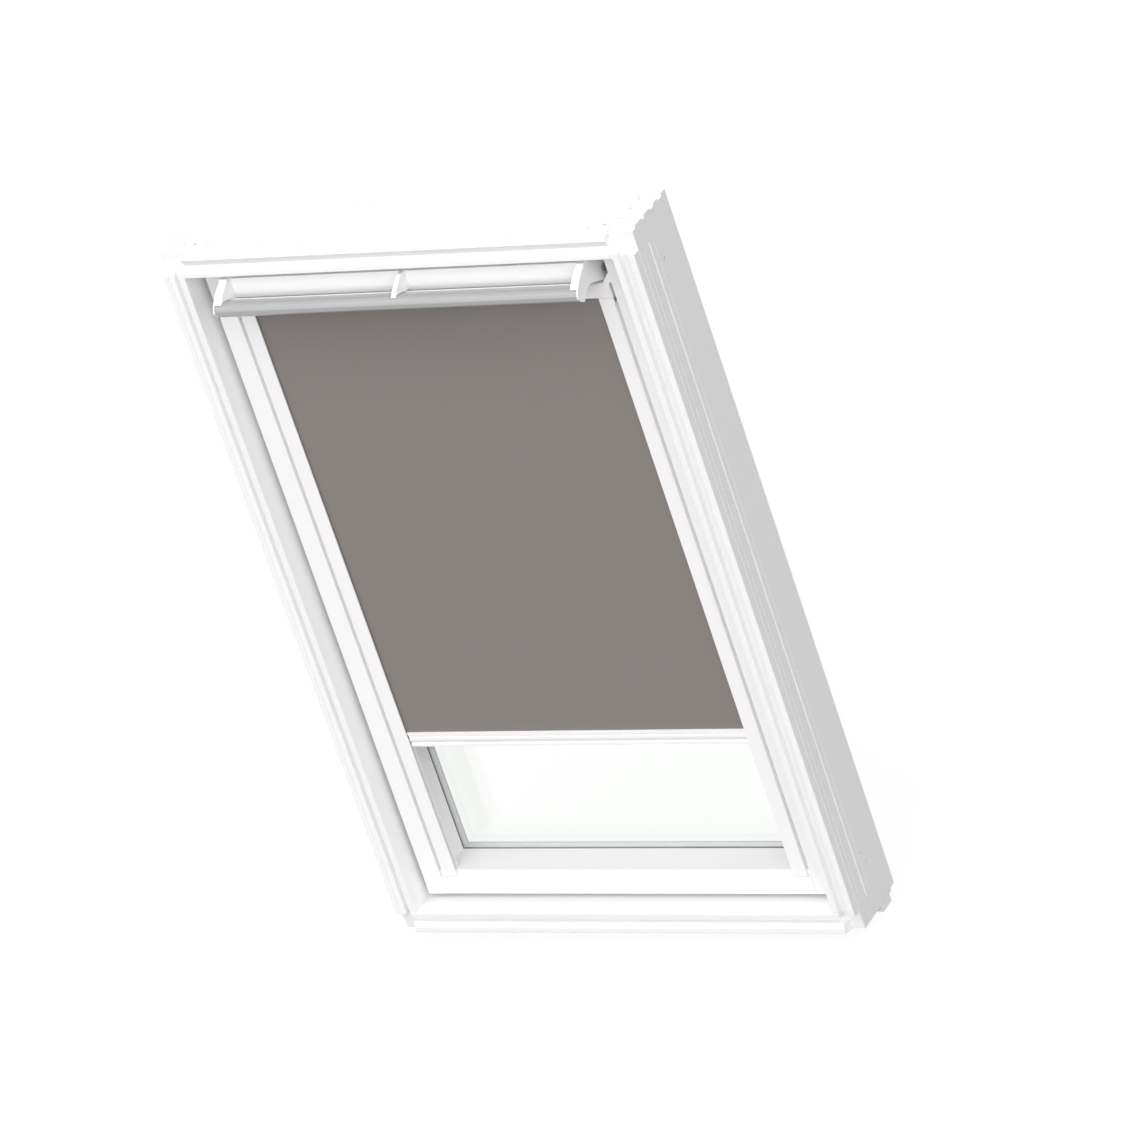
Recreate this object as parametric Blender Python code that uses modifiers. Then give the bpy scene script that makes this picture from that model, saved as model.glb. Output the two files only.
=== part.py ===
"""Centre-pivot roof window with a ventilation flap, a control bar and a roller blind in side channels.

Places are given in window coordinates: x across with 0 at the middle, depth from the front face of the
frame's core (negative towards the room), height from the frame's underside. One empty carries the window
into the model's own frame, where the origin is the middle of the bounding box at its lowest level.
"""

import math

import bmesh
import bpy
from mathutils import Vector

MM = 0.001
COLLECTION = "roof_window_with_blind"

# Clearances
GAP = 0.3 * MM
WELD_DISTANCE = 0.001 * MM
OVERRUN = 2 * MM

# Outer frame
FRAME_WIDTH = 780 * MM
FRAME_HEIGHT = 1178 * MM
FRAME_DEPTH = 110.2 * MM
STILE_INSET = 36 * MM
HEAD_INSET = 37.4 * MM
SILL_INSET = 35.9 * MM
BAND_PROUD = 15 * MM
INNER_BAND_PROUD = 15.2 * MM
GROOVE_FLOOR = 3.8 * MM
FINGER_DROP = 3.7 * MM
FINGER_LENGTH = 39.5 * MM
REAR_FINGER_LENGTH = 32 * MM
TOP_BLOCK_HEIGHT = 33 * MM
BOTTOM_BLOCK_HEIGHT = 33 * MM
SILL_BAND_END = 21 * MM
BAND_END_SLANT = 4.5 * MM

# Finger joint: depths where head or sill fingers and stile fingers take turns, the stile's first
FINGER_EDGES = [8.5 * MM, 32 * MM, 39 * MM, 58 * MM, 70 * MM, 84 * MM, 97 * MM]
REAR_STEP = 62 * MM
LAST_STEP = 90 * MM
HEAD_REAR_INSET = 22.5 * MM
HEAD_LAST_INSET = 13 * MM
SILL_REAR_INSET = 16 * MM
SILL_LAST_INSET = 13 * MM
SILL_REAR_RISE = 4.5 * MM

# Drip strip under the sill
DRIP_DROP = 12.6 * MM
DRIP_FRONT = 58.5 * MM
DRIP_BACK = 89 * MM

# Installation holes in the side faces and the head: place and radius
SIDE_HOLES_FROM_TOP = [(59.3 * MM, 58.3 * MM, 1.5 * MM), (56.9 * MM, 80.6 * MM, 3 * MM),
                       (48.6 * MM, 103.7 * MM, 1.5 * MM), (11 * MM, 98 * MM, 1 * MM)]
SIDE_HOLES_FROM_BOTTOM = [(52 * MM, 98 * MM, 1.5 * MM), (60 * MM, 77 * MM, 3 * MM),
                          (63.4 * MM, 55.2 * MM, 1.5 * MM), (14.5 * MM, 87 * MM, 1 * MM)]
HEAD_HOLES_FROM_END = [(30 * MM, 22 * MM, 1.5 * MM), (52 * MM, 18 * MM, 3 * MM), (75 * MM, 12 * MM, 1.5 * MM)]
HOLE_DEPTH = 9 * MM

# Sash
SIDE_GAP = 8 * MM
HEAD_GAP = 8.6 * MM
SILL_GAP = 10.1 * MM
SASH_FRONT = 21.5 * MM
STILE_FACE = 31 * MM
RAIL_FACE = 30.3 * MM
RAIL_GROOVE = 0.7 * MM
LIP_SETBACK = 3 * MM
LIP_WIDTH = 13.8 * MM
LIP_SLOT_DEPTH = 7 * MM
RAIL_LIP = 10 * MM
TOP_RAIL_HEIGHT = 82 * MM
TOP_RAIL_FRONT = 52 * MM
GLASS_SEAT = 80 * MM

# Glass unit
GASKET_THICKNESS = 2 * MM
PANE_THICKNESS = 4 * MM
PANE_SPACE = 12.2 * MM
GLASS_COVER = 15 * MM
GLASS_PLAY = 1 * MM
SPACER_WIDTH = 11 * MM
GASKET_INSET = 0.5 * MM

# Outer covers of the sash
COVER_THICKNESS = 1.5 * MM
COVER_LEG = 11 * MM
COVER_SETBACK = 2.3 * MM

# Weather seal on the sash edge
SEAL_FRONT = 66 * MM
SEAL_DEPTH = 6 * MM
SEAL_CLEARANCE = 1.1 * MM
SEAL_STOP = 37 * MM

# Pivot
PIVOT_DEPTH = 60 * MM
PIVOT_PIN_RADIUS = 5 * MM
PIVOT_CLEARANCE = 0.1 * MM
PIVOT_PLATE_THICKNESS = 2 * MM
PIVOT_PLATE_HALF_HEIGHT = 28 * MM
PIVOT_PLATE_HALF_DEPTH = 12 * MM
PIVOT_PIN_REACH = 10 * MM
BUSHING_WALL = 2.5 * MM
BUSHING_LENGTH = 12 * MM
SCREW_OFFSET = 20 * MM
SCREW_HEAD_RADIUS = 3.2 * MM
SCREW_HEAD_HEIGHT = 1.6 * MM
SCREW_RADIUS = 1.7 * MM
SCREW_LENGTH = 14 * MM

# Blind: channels, cloth, roller, headbox and bottom bar
CHANNEL_COVER = 15.2 * MM
CHANNEL_SEAT = 8.3 * MM
CHANNEL_DEPTH = 11.5 * MM
CHANNEL_FRONT_WALL = 1.9 * MM
CHANNEL_BACK_WALL = 1.6 * MM
CHANNEL_SIDE_WALL = 2.4 * MM
CLOTH_THICKNESS = 0.5 * MM
CLOTH_SETBACK = 4.2 * MM
CLOTH_EDGE_PLAY = 1.5 * MM
CLOTH_IN_BAR = 10 * MM
HEADBOX_HEIGHT = 24 * MM
HEADBOX_BELOW_HINGE = 18.5 * MM
HEADBOX_WALL = 1.5 * MM
HEADBOX_CAP_THICKNESS = 1.8 * MM
HEADBOX_EDGE_PLAY = 4.7 * MM
CLOTH_SLOT = 2 * MM
ROLL_RADIUS = 7.5 * MM
TUBE_RADIUS = 5 * MM
TUBE_BORE = 3 * MM
ROLLER_PIN_REACH = 12 * MM
ROLLER_PIN_CLEARANCE = 0.1 * MM
BAR_UNDERSIDE = 308 * MM
BAR_HEIGHT = 25 * MM
BAR_DEPTH = 7.4 * MM
BAR_SETBACK = 1.7 * MM
BAR_END_PLAY = 1.2 * MM
BAR_NOTCH_LENGTH = 8 * MM
BAR_NOTCH_BELOW_TOP = (6 * MM, 13 * MM)
SLIDER_HEIGHT = 11.5 * MM
SLIDER_LIFT = 2 * MM
SLIDER_PLAY = 0.5 * MM
CLIP_DEPTH = 6.7 * MM
CLIP_HEIGHT = 14.7 * MM
CLIP_WIDTH = 11.7 * MM
CLIP_WALL = 1.6 * MM

# Ventilation flap and control bar, measured from the flap's hinge axis
HINGE_DEPTH = 34 * MM
HINGE_BELOW_TOP = 31.5 * MM
FLAP_RADIUS = 50 * MM
FLAP_REACH = 36 * MM
FLAP_RISE = 12.5 * MM
FLAP_HALF_HEIGHT = 16 * MM
FLAP_THICKNESS = 2.5 * MM
FLAP_RETURN = 7.5 * MM
ARM_THICKNESS = 11 * MM
PLATE_THICKNESS = 2 * MM
PLATE_BITE = 1 * MM
MIDDLE_ARM_HALF = 3.65 * MM
FLAP_SIDE_PLAY = 13.5 * MM
HINGE_PIN_RADIUS = 3 * MM
HINGE_PIN_CLEARANCE = 0.1 * MM
HINGE_PIN_REACH = 5 * MM
BRACKET_THICKNESS = 2.5 * MM
BRACKET_FOOT = 9 * MM
BRACKET_HALF_HEIGHT = 6.5 * MM
BRACKET_PLAY = 1.5 * MM

# Smoothness of round pieces
ROUND_STEPS = 32
SMALL_ROUND_STEPS = 16
ARC_STEP = math.radians(12)
SMOOTH_ANGLE = math.radians(35)

# Sizes and places that follow from the ones above
FRAME_HALF = FRAME_WIDTH / 2
REVEAL_HALF = FRAME_HALF - STILE_INSET
REVEAL_TOP = FRAME_HEIGHT - HEAD_INSET
FINGER_HALF = FRAME_HALF - FINGER_LENGTH
SASH_HALF = REVEAL_HALF - SIDE_GAP
SASH_TOP = REVEAL_TOP - HEAD_GAP
SASH_BOTTOM = SILL_INSET + SILL_GAP
STILE_INNER = SASH_HALF - STILE_FACE
SIGHT_HALF = STILE_INNER - LIP_WIDTH
SIGHT_BOTTOM = SASH_BOTTOM + RAIL_FACE + RAIL_GROOVE + RAIL_LIP
SIGHT_TOP = SASH_TOP - TOP_RAIL_HEIGHT
LIP_FRONT = SASH_FRONT + LIP_SETBACK
PIVOT_HEIGHT = (SILL_INSET + REVEAL_TOP) / 2
GASKET_FRONT = GLASS_SEAT + GAP
INNER_PANE_FRONT = GASKET_FRONT + GASKET_THICKNESS + GAP
OUTER_PANE_FRONT = INNER_PANE_FRONT + PANE_THICKNESS + PANE_SPACE
SASH_BACK = OUTER_PANE_FRONT + PANE_THICKNESS + GAP
COVER_FRONT = SASH_BACK + GAP
GLASS_HALF = SIGHT_HALF + GLASS_COVER
GLASS_BOTTOM = SIGHT_BOTTOM - GLASS_COVER
GLASS_TOP = SIGHT_TOP + GLASS_COVER
CHANNEL_INNER = SIGHT_HALF - CHANNEL_COVER
CHANNEL_OUTER = SIGHT_HALF + CHANNEL_SEAT
SLOT_END = SIGHT_HALF - GAP - CHANNEL_SIDE_WALL
SLOT_FRONT = SASH_FRONT + CHANNEL_FRONT_WALL
CHANNEL_BACK = SASH_FRONT + CHANNEL_DEPTH
SLOT_BACK = CHANNEL_BACK - CHANNEL_BACK_WALL
CLOTH_FRONT = SASH_FRONT + CLOTH_SETBACK
CLOTH_BACK = CLOTH_FRONT + CLOTH_THICKNESS
CLOTH_HALF = SLOT_END - CLOTH_EDGE_PLAY
HINGE_HEIGHT = SASH_TOP - HINGE_BELOW_TOP
HEADBOX_TOP = HINGE_HEIGHT - HEADBOX_BELOW_HINGE
HEADBOX_BOTTOM = HEADBOX_TOP - HEADBOX_HEIGHT
HEADBOX_BACK = TOP_RAIL_FRONT - GAP
CAP_OUTER = STILE_INNER - HEADBOX_EDGE_PLAY
CAP_INNER = CAP_OUTER - HEADBOX_CAP_THICKNESS
ROLL_DEPTH = CLOTH_BACK + GAP + ROLL_RADIUS
ROLL_HEIGHT = HEADBOX_BOTTOM + HEADBOX_HEIGHT / 2
BAR_TOP = BAR_UNDERSIDE + BAR_HEIGHT
BAR_FRONT = SASH_FRONT + BAR_SETBACK
BAR_HALF = CHANNEL_INNER - BAR_END_PLAY
PLATE_OUTER = STILE_INNER - FLAP_SIDE_PLAY
PLATE_INNER = PLATE_OUTER - PLATE_THICKNESS
ARM_INNER = PLATE_INNER - ARM_THICKNESS
FLAP_CENTRE = (FLAP_RADIUS - FLAP_REACH, FLAP_RISE)

HINGE = Vector((0, HINGE_DEPTH, HINGE_HEIGHT))
PIVOT = Vector((0, PIVOT_DEPTH, PIVOT_HEIGHT))
ROLLER = Vector((0, ROLL_DEPTH, ROLL_HEIGHT))
BAR_MIDDLE = Vector((0, BAR_FRONT + BAR_DEPTH / 2, BAR_UNDERSIDE + BAR_HEIGHT / 2))
WINDOW = Vector((0, 0, 0))

# Finishes: colour, roughness, metallic
WHITE_PAINT = ((0.93, 0.93, 0.93), 0.38, 0.0)
WHITE_PLASTIC = ((0.90, 0.90, 0.90), 0.32, 0.0)
WHITE_ALUMINIUM = ((0.91, 0.91, 0.91), 0.30, 0.0)
ANODISED = ((0.62, 0.63, 0.64), 0.33, 0.9)
GREY_PLASTIC = ((0.55, 0.56, 0.57), 0.45, 0.0)
STEEL = ((0.60, 0.60, 0.60), 0.30, 1.0)
DARK_RUBBER = ((0.03, 0.03, 0.03), 0.65, 0.0)
WARM_EDGE = ((0.62, 0.63, 0.63), 0.45, 0.0)
CLEAR_GLASS = ((0.86, 0.92, 0.90), 0.03, 0.0)
TAUPE_CLOTH = ((0.24, 0.215, 0.21), 0.85, 0.0)

# Which world axes an outline's two coordinates and its extrusion follow
TURN_FOR_AXIS = {
    "X": (math.radians(90), 0, math.radians(90)),
    "Y": (math.radians(90), 0, 0),
    "Z": (0, 0, 0),
}
AXIS_DIRECTION = {"X": Vector((1, 0, 0)), "Y": Vector((0, 1, 0)), "Z": Vector((0, 0, 1))}


def clear_scene():
    for obj in list(bpy.data.objects):
        bpy.data.objects.remove(obj, do_unlink=True)


def new_collection(name):
    collection = bpy.data.collections.new(name)
    bpy.context.scene.collection.children.link(collection)
    return collection


def new_axis(name, place, parent=None):
    """Empty at a place in window coordinates, under another one."""
    axis = bpy.data.objects.new(name, None)
    PARTS.objects.link(axis)
    axis.parent = parent
    axis.location = place - (AXIS_PLACES[parent.name] if parent else WINDOW)
    AXIS_PLACES[name] = place
    return axis


def hang(obj, place, parent):
    """Put an object at a place in window coordinates, under the empty that carries it."""
    obj.parent = parent
    obj.location = place - AXIS_PLACES[parent.name]


def finish(obj, look):
    colour, roughness, metallic = look
    material = bpy.data.materials.new(obj.name)
    material.use_nodes = True
    shader = material.node_tree.nodes["Principled BSDF"]
    shader.inputs["Base Color"].default_value = (*colour, 1)
    shader.inputs["Roughness"].default_value = roughness
    shader.inputs["Metallic"].default_value = metallic
    material.diffuse_color = (*colour, 1)
    obj.data.materials.clear()
    obj.data.materials.append(material)
    return obj


def shade_round(mesh):
    mesh.shade_smooth()
    mesh.set_sharp_from_angle(angle=SMOOTH_ANGLE)


def as_cutter(obj):
    """Hide a piece that only cuts or joins another one."""
    PARTS.objects.unlink(obj)
    CUTTERS.objects.link(obj)
    obj.hide_render = True
    obj.display_type = "WIRE"
    return obj


def join_or_cut(target, tool, operation):
    as_cutter(tool)
    modifier = target.modifiers.new(tool.name, "BOOLEAN")
    modifier.operation = operation
    modifier.solver = "EXACT"
    modifier.object = tool


def cut(target, *tools):
    for tool in tools:
        join_or_cut(target, tool, "DIFFERENCE")


def join(target, *tools):
    for tool in tools:
        join_or_cut(target, tool, "UNION")


def rounded(corners):
    """Points of a closed outline whose corners (a, b, radius) are turned into arcs."""
    points = []
    for index, (a, b, radius) in enumerate(corners):
        corner = Vector((a, b))
        before = Vector(corners[index - 1][:2]) - corner
        after = Vector(corners[(index + 1) % len(corners)][:2]) - corner
        if radius == 0:
            points.append(corner)
            continue
        half_angle = before.angle(after) / 2
        reach = min(radius / math.tan(half_angle), 0.45 * before.length, 0.45 * after.length)
        radius = reach * math.tan(half_angle)
        bisector = (before.normalized() + after.normalized()).normalized()
        centre = corner + bisector * radius / math.sin(half_angle)
        start = corner + before.normalized() * reach - centre
        turn = math.pi - 2 * half_angle
        if before.cross(after) > 0:
            turn = -turn
        steps = max(2, math.ceil(abs(turn) / ARC_STEP))
        for step in range(steps + 1):
            points.append(centre + turned(start, turn * step / steps))
    return points


def turned(point, angle):
    return Vector((point.x * math.cos(angle) - point.y * math.sin(angle),
                   point.x * math.sin(angle) + point.y * math.cos(angle)))


def arc(centre, radius, start, end):
    """Points on a circle between two angles, both included."""
    steps = max(2, math.ceil(abs(end - start) / (ARC_STEP / 2)))
    return [(centre[0] + radius * math.cos(start + (end - start) * step / steps),
             centre[1] + radius * math.sin(start + (end - start) * step / steps), 0)
            for step in range(steps + 1)]


def prism(name, corners, axis, low, high, parent, about=WINDOW, hole=None):
    """Outline carried along an axis from low to high, with its coordinates counted from a given place.

    Outlines are (depth, height) along X, (x, height) along Y and (x, depth) along Z.
    """
    curve = bpy.data.curves.new(name, "CURVE")
    curve.dimensions = "2D"
    curve.fill_mode = "BOTH"
    curve.extrude = (high - low) / 2
    for ring in (corners, hole):
        if ring is None:
            continue
        points = rounded(ring)
        spline = curve.splines.new("POLY")
        spline.points.add(len(points) - 1)
        for spline_point, point in zip(spline.points, points):
            spline_point.co = (point.x, point.y, 0, 1)
        spline.use_cyclic_u = True
    drawn = bpy.data.objects.new(name + "_outline", curve)
    PARTS.objects.link(drawn)
    graph = bpy.context.evaluated_depsgraph_get()
    mesh = bpy.data.meshes.new_from_object(drawn.evaluated_get(graph))
    bpy.data.objects.remove(drawn)
    mesh.name = name
    weld(mesh)
    obj = bpy.data.objects.new(name, mesh)
    PARTS.objects.link(obj)
    obj.rotation_euler = TURN_FOR_AXIS[axis]
    hang(obj, about + AXIS_DIRECTION[axis] * (low + high) / 2, parent)
    return obj


def weld(mesh):
    build = bmesh.new()
    build.from_mesh(mesh)
    bmesh.ops.remove_doubles(build, verts=build.verts, dist=WELD_DISTANCE)
    bmesh.ops.recalc_face_normals(build, faces=build.faces)
    build.to_mesh(mesh)
    build.free()
    shade_round(mesh)


def box(name, low, high, parent):
    """Box between two opposite corners in window coordinates."""
    low = Vector(low)
    high = Vector(high)
    mesh = bpy.data.meshes.new(name)
    build = bmesh.new()
    bmesh.ops.create_cube(build, size=1)
    bmesh.ops.scale(build, vec=high - low, verts=build.verts)
    build.to_mesh(mesh)
    build.free()
    obj = bpy.data.objects.new(name, mesh)
    PARTS.objects.link(obj)
    hang(obj, (low + high) / 2, parent)
    return obj


def rod(name, radius, start, end, parent, steps=SMALL_ROUND_STEPS):
    """Cylinder between two points in window coordinates."""
    start = Vector(start)
    end = Vector(end)
    mesh = bpy.data.meshes.new(name)
    build = bmesh.new()
    bmesh.ops.create_cone(build, cap_ends=True, segments=steps, radius1=radius, radius2=radius,
                          depth=(end - start).length)
    build.to_mesh(mesh)
    build.free()
    shade_round(mesh)
    obj = bpy.data.objects.new(name, mesh)
    PARTS.objects.link(obj)
    obj.rotation_euler = (end - start).to_track_quat("Z", "Y").to_euler()
    hang(obj, (start + end) / 2, parent)
    return obj


def ring(name, outer, inner, low_x, high_x, about, parent, steps=ROUND_STEPS):
    """Tube along X around an axis, turned from its rectangular section."""
    half = (high_x - low_x) / 2
    section = [(outer, 0, half), (outer, 0, -half), (inner, 0, -half), (inner, 0, half)]
    mesh = bpy.data.meshes.new(name)
    mesh.from_pydata(section, [(0, 1), (1, 2), (2, 3), (3, 0)], [])
    obj = bpy.data.objects.new(name, mesh)
    PARTS.objects.link(obj)
    screw = obj.modifiers.new("turned", "SCREW")
    screw.axis = "Z"
    screw.steps = steps
    screw.render_steps = steps
    screw.use_merge_vertices = True
    screw.merge_threshold = WELD_DISTANCE
    screw.use_smooth_shade = True
    obj.rotation_euler = (0, math.radians(90), 0)
    hang(obj, about + Vector(((low_x + high_x) / 2, 0, 0)), parent)
    return obj


def side_name(side):
    return "right" if side > 0 else "left"


def span(side, inner, outer):
    """Low and high x of a stretch that lies between two distances from the middle, on one side."""
    return (inner, outer) if side > 0 else (-outer, -inner)


def rounded_band(outer, crest, groove):
    """Head's outer band, from its top to the groove floor, as (inset, depth, radius)."""
    return [
        (outer, -1.2 * MM, 0),
        (outer, -BAND_PROUD * 0.75, 3 * MM),
        (crest, -BAND_PROUD, 1.5 * MM),
        (groove, -BAND_PROUD * 0.55, 0.6 * MM),
        (groove, -GROOVE_FLOOR, 0),
    ]


def flat_band(outer, flat, groove):
    """Outer band of a stile or the sill: a flat, a fine V line and a gentle slope to the groove."""
    return [
        (outer, 0, 0),
        (outer, -BAND_PROUD, 1.5 * MM),
        (flat, -BAND_PROUD, 0),
        (flat + 0.7 * MM, -BAND_PROUD + 1.6 * MM, 0),
        (flat + 1.6 * MM, -BAND_PROUD + 0.5 * MM, 0),
        (groove, -BAND_PROUD + 3.2 * MM, 1.2 * MM),
        (groove, -GROOVE_FLOOR, 0),
    ]


def inner_band(groove, reveal):
    return [
        (groove, -GROOVE_FLOOR, 0),
        (groove, -INNER_BAND_PROUD, 0.8 * MM),
        (reveal, -INNER_BAND_PROUD, 1 * MM),
    ]


# Where the lining groove lies, as insets from the outer faces
STILE_GROOVE = (16.8 * MM, 26.5 * MM)
HEAD_GROOVE = (19.8 * MM, 29.8 * MM)
SILL_GROOVE = (18 * MM, 29.5 * MM)


def stile_section():
    """Section of a frame stile as (inset from the outer face, depth, radius), as wide as its fingers."""
    ridge = [(0, 32 * MM, 0), (2.4 * MM, 31.6 * MM, 0), (0, 26.5 * MM, 0)]
    fine_line = [(0, 43.2 * MM, 0), (0.9 * MM, 42.7 * MM, 0), (0, 42.2 * MM, 0)]
    face_line = [(0, 11.6 * MM, 0), (0.4 * MM, 11.1 * MM, 0), (0, 10.6 * MM, 0)]
    inner = FINGER_LENGTH - GAP
    back = [(inner, FRAME_DEPTH, 0), (0, FRAME_DEPTH, 0)]
    front = flat_band(0.3 * MM, 9 * MM, STILE_GROOVE[0]) + inner_band(STILE_GROOVE[1], inner)
    return back + fine_line + ridge + face_line + [(0, 0, 0)] + front


def reveal_section():
    """What is taken off a stile between head and sill, as (inset, depth, radius); it eases the front edge."""
    front = -BAND_PROUD - OVERRUN
    beyond = FINGER_LENGTH + OVERRUN
    eased = 0.7 * MM
    return [
        (STILE_INSET - eased - OVERRUN, -INNER_BAND_PROUD - OVERRUN, 0),
        (STILE_INSET, -INNER_BAND_PROUD + eased, 0),
        (STILE_INSET, FRAME_DEPTH + OVERRUN, 0),
        (beyond, FRAME_DEPTH + OVERRUN, 0),
        (beyond, front - OVERRUN, 0),
        (STILE_INSET - eased - OVERRUN, front - OVERRUN, 0),
    ]


def head_section():
    """Section of the frame head as (inset from the top, depth, radius)."""
    back = [
        (HEAD_INSET, REAR_STEP, 0),
        (HEAD_REAR_INSET, REAR_STEP, 0),
        (HEAD_REAR_INSET, LAST_STEP, 0),
        (HEAD_LAST_INSET, LAST_STEP, 0),
        (HEAD_LAST_INSET, FRAME_DEPTH, 0),
        (0, FRAME_DEPTH, 0),
        (0, 0, 0),
        (5.2 * MM, 0, 0),
    ]
    return back + rounded_band(4 * MM, 8.5 * MM, HEAD_GROOVE[0]) + inner_band(HEAD_GROOVE[1], HEAD_INSET)


def sill_section():
    """Section of the frame sill as (height from the underside, depth, radius)."""
    back = [
        (SILL_INSET, REAR_STEP, 0),
        (SILL_REAR_INSET, REAR_STEP, 0),
        (SILL_REAR_INSET, LAST_STEP, 0),
        (SILL_LAST_INSET, LAST_STEP, 0),
        (SILL_LAST_INSET, FRAME_DEPTH, 0),
        (SILL_REAR_RISE, FRAME_DEPTH, 0),
        (SILL_REAR_RISE, LAST_STEP, 0),
        (0, LAST_STEP, 0),
        (0, 0, 0),
    ]
    return back + flat_band(0.8 * MM, 9.5 * MM, SILL_GROOVE[0]) + inner_band(SILL_GROOVE[1], SILL_INSET)


def finger_layers():
    """Depth ranges of the stile's fingers and of the head's or sill's fingers."""
    edges = [-BAND_PROUD - OVERRUN] + FINGER_EDGES + [FRAME_DEPTH + OVERRUN]
    layers = list(zip(edges[:-1], edges[1:]))
    return layers[0::2], layers[1::2]


def finger_reach(layer):
    """Distance from the middle at which a stile finger of this layer starts."""
    return FINGER_HALF if layer[0] < FINGER_EDGES[3] else FRAME_HALF - REAR_FINGER_LENGTH


def rail_inset(layer, head):
    """Thickness of the head or the sill in one layer of fingers."""
    if layer[0] >= FINGER_EDGES[6]:
        return HEAD_LAST_INSET if head else SILL_LAST_INSET
    if layer[0] >= FINGER_EDGES[4]:
        return HEAD_REAR_INSET if head else SILL_REAR_INSET
    return HEAD_INSET if head else SILL_INSET


def at_side(side, section):
    """Turn insets from a side's outer face into x."""
    return [(side * (FRAME_HALF - inset), other, radius) for inset, other, radius in section]


def make_frame_stile(side, parent):
    name = "frame_stile_" + side_name(side)
    stile = prism(name, at_side(side, stile_section()), "Z", 0, FRAME_HEIGHT - FINGER_DROP, parent)
    cut(stile, prism(name + "_reveal", at_side(side, reveal_section()), "Z",
                     SILL_INSET - GAP, REVEAL_TOP + GAP, parent))

    front = -BAND_PROUD - OVERRUN
    above = FRAME_HEIGHT + OVERRUN
    inner = FINGER_LENGTH + OVERRUN
    block_low = FRAME_HEIGHT - TOP_BLOCK_HEIGHT
    band_top = FRAME_HEIGHT - HEAD_GROOVE[1]
    top_face = [(-OVERRUN, above, 0), (-OVERRUN, block_low, 0), (STILE_GROOVE[1], block_low, 0),
                (STILE_GROOVE[1], band_top, 0), (inner, band_top, 0), (inner, above, 0)]
    sill_face = SILL_INSET + GAP
    low_face = [(-OVERRUN, -OVERRUN, 0), (-OVERRUN, BOTTOM_BLOCK_HEIGHT, 0),
                (STILE_GROOVE[1], BOTTOM_BLOCK_HEIGHT, 0), (STILE_GROOVE[1], sill_face, 0),
                (inner, sill_face, 0), (inner, -OVERRUN, 0)]
    cut(stile, prism(name + "_top_face", at_side(side, top_face), "Y", front, 0, parent))
    cut(stile, prism(name + "_low_face", at_side(side, low_face), "Y", front, 0, parent))

    near, far = span(side, FINGER_HALF - OVERRUN, FRAME_HALF + OVERRUN)
    for index, layer in enumerate(finger_layers()[1]):
        low, high = layer[0] - GAP / 2, layer[1] + GAP / 2
        under_head = FRAME_HEIGHT - rail_inset(layer, True) - GAP
        over_sill = rail_inset(layer, False) + GAP
        cut(stile, box(f"{name}_slot_{index}", (near, low, under_head), (far, high, above), parent))
        cut(stile, box(f"{name}_low_slot_{index}", (near, low, -OVERRUN), (far, high, over_sill), parent))
    near, far = span(side, FINGER_HALF - OVERRUN, FRAME_HALF - REAR_FINGER_LENGTH)
    relief = FINGER_EDGES[3] - OVERRUN
    back = FRAME_DEPTH + OVERRUN
    cut(stile, box(name + "_rear_relief", (near, relief, REVEAL_TOP), (far, back, above), parent))
    cut(stile, box(name + "_low_rear_relief", (near, relief, -OVERRUN), (far, back, SILL_INSET), parent))

    outside = FRAME_HALF + OVERRUN
    holes = [(depth, FRAME_HEIGHT - drop, radius) for depth, drop, radius in SIDE_HOLES_FROM_TOP]
    for index, (depth, height, radius) in enumerate(holes + SIDE_HOLES_FROM_BOTTOM):
        cut(stile, rod(f"{name}_hole_{index}", radius, (side * (FRAME_HALF - HOLE_DEPTH), depth, height),
                       (side * outside, depth, height), parent))
    for step in (-1, 1):
        height = PIVOT_HEIGHT + step * SCREW_OFFSET
        cut(stile, rod(f"{name}_screw_hole_{step}", SCREW_RADIUS + GAP,
                       (side * (REVEAL_HALF - OVERRUN), PIVOT_DEPTH, height),
                       (side * (REVEAL_HALF + SCREW_LENGTH), PIVOT_DEPTH, height), parent))
    return finish(stile, WHITE_PAINT)


def make_frame_head(parent):
    section = [(depth, FRAME_HEIGHT - inset, radius) for inset, depth, radius in head_section()]
    head = prism("frame_head", section, "X", -FRAME_HALF, FRAME_HALF, parent)
    cut_stile_pockets(head, FRAME_HEIGHT - HEAD_INSET - OVERRUN, FRAME_HEIGHT + OVERRUN, 0, parent)
    for side in (-1, 1):
        for index, (inset, depth, radius) in enumerate(HEAD_HOLES_FROM_END):
            x = side * (FRAME_HALF - inset)
            cut(head, rod(f"head_hole_{side_name(side)}_{index}", radius,
                          (x, depth, FRAME_HEIGHT - HOLE_DEPTH), (x, depth, FRAME_HEIGHT + OVERRUN), parent))
    return finish(head, WHITE_PAINT)


def make_frame_sill(parent):
    section = [(depth, height, radius) for height, depth, radius in sill_section()]
    sill = prism("frame_sill", section, "X", -FRAME_HALF, FRAME_HALF, parent)
    cut_stile_pockets(sill, -OVERRUN, SILL_INSET + OVERRUN, BAND_PROUD + OVERRUN, parent)
    outside = FRAME_HALF + OVERRUN
    front = -BAND_PROUD - OVERRUN
    band_end = FRAME_HALF - SILL_BAND_END
    for side in (-1, 1):
        slanted = [(side * (band_end - BAND_END_SLANT), front, 0), (side * band_end, 0, 0),
                   (side * outside, 0, 0), (side * outside, front, 0)]
        cut(sill, prism("sill_band_end_" + side_name(side), slanted, "Z",
                        -OVERRUN, SILL_INSET + OVERRUN, parent))
        near, far = span(side, REVEAL_HALF + STILE_INSET - STILE_GROOVE[1], outside)
        cut(sill, box("sill_groove_end_" + side_name(side), (near, front, SILL_GROOVE[0]),
                      (far, 0, SILL_INSET + OVERRUN), parent))
    return finish(sill, WHITE_PAINT)


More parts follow.
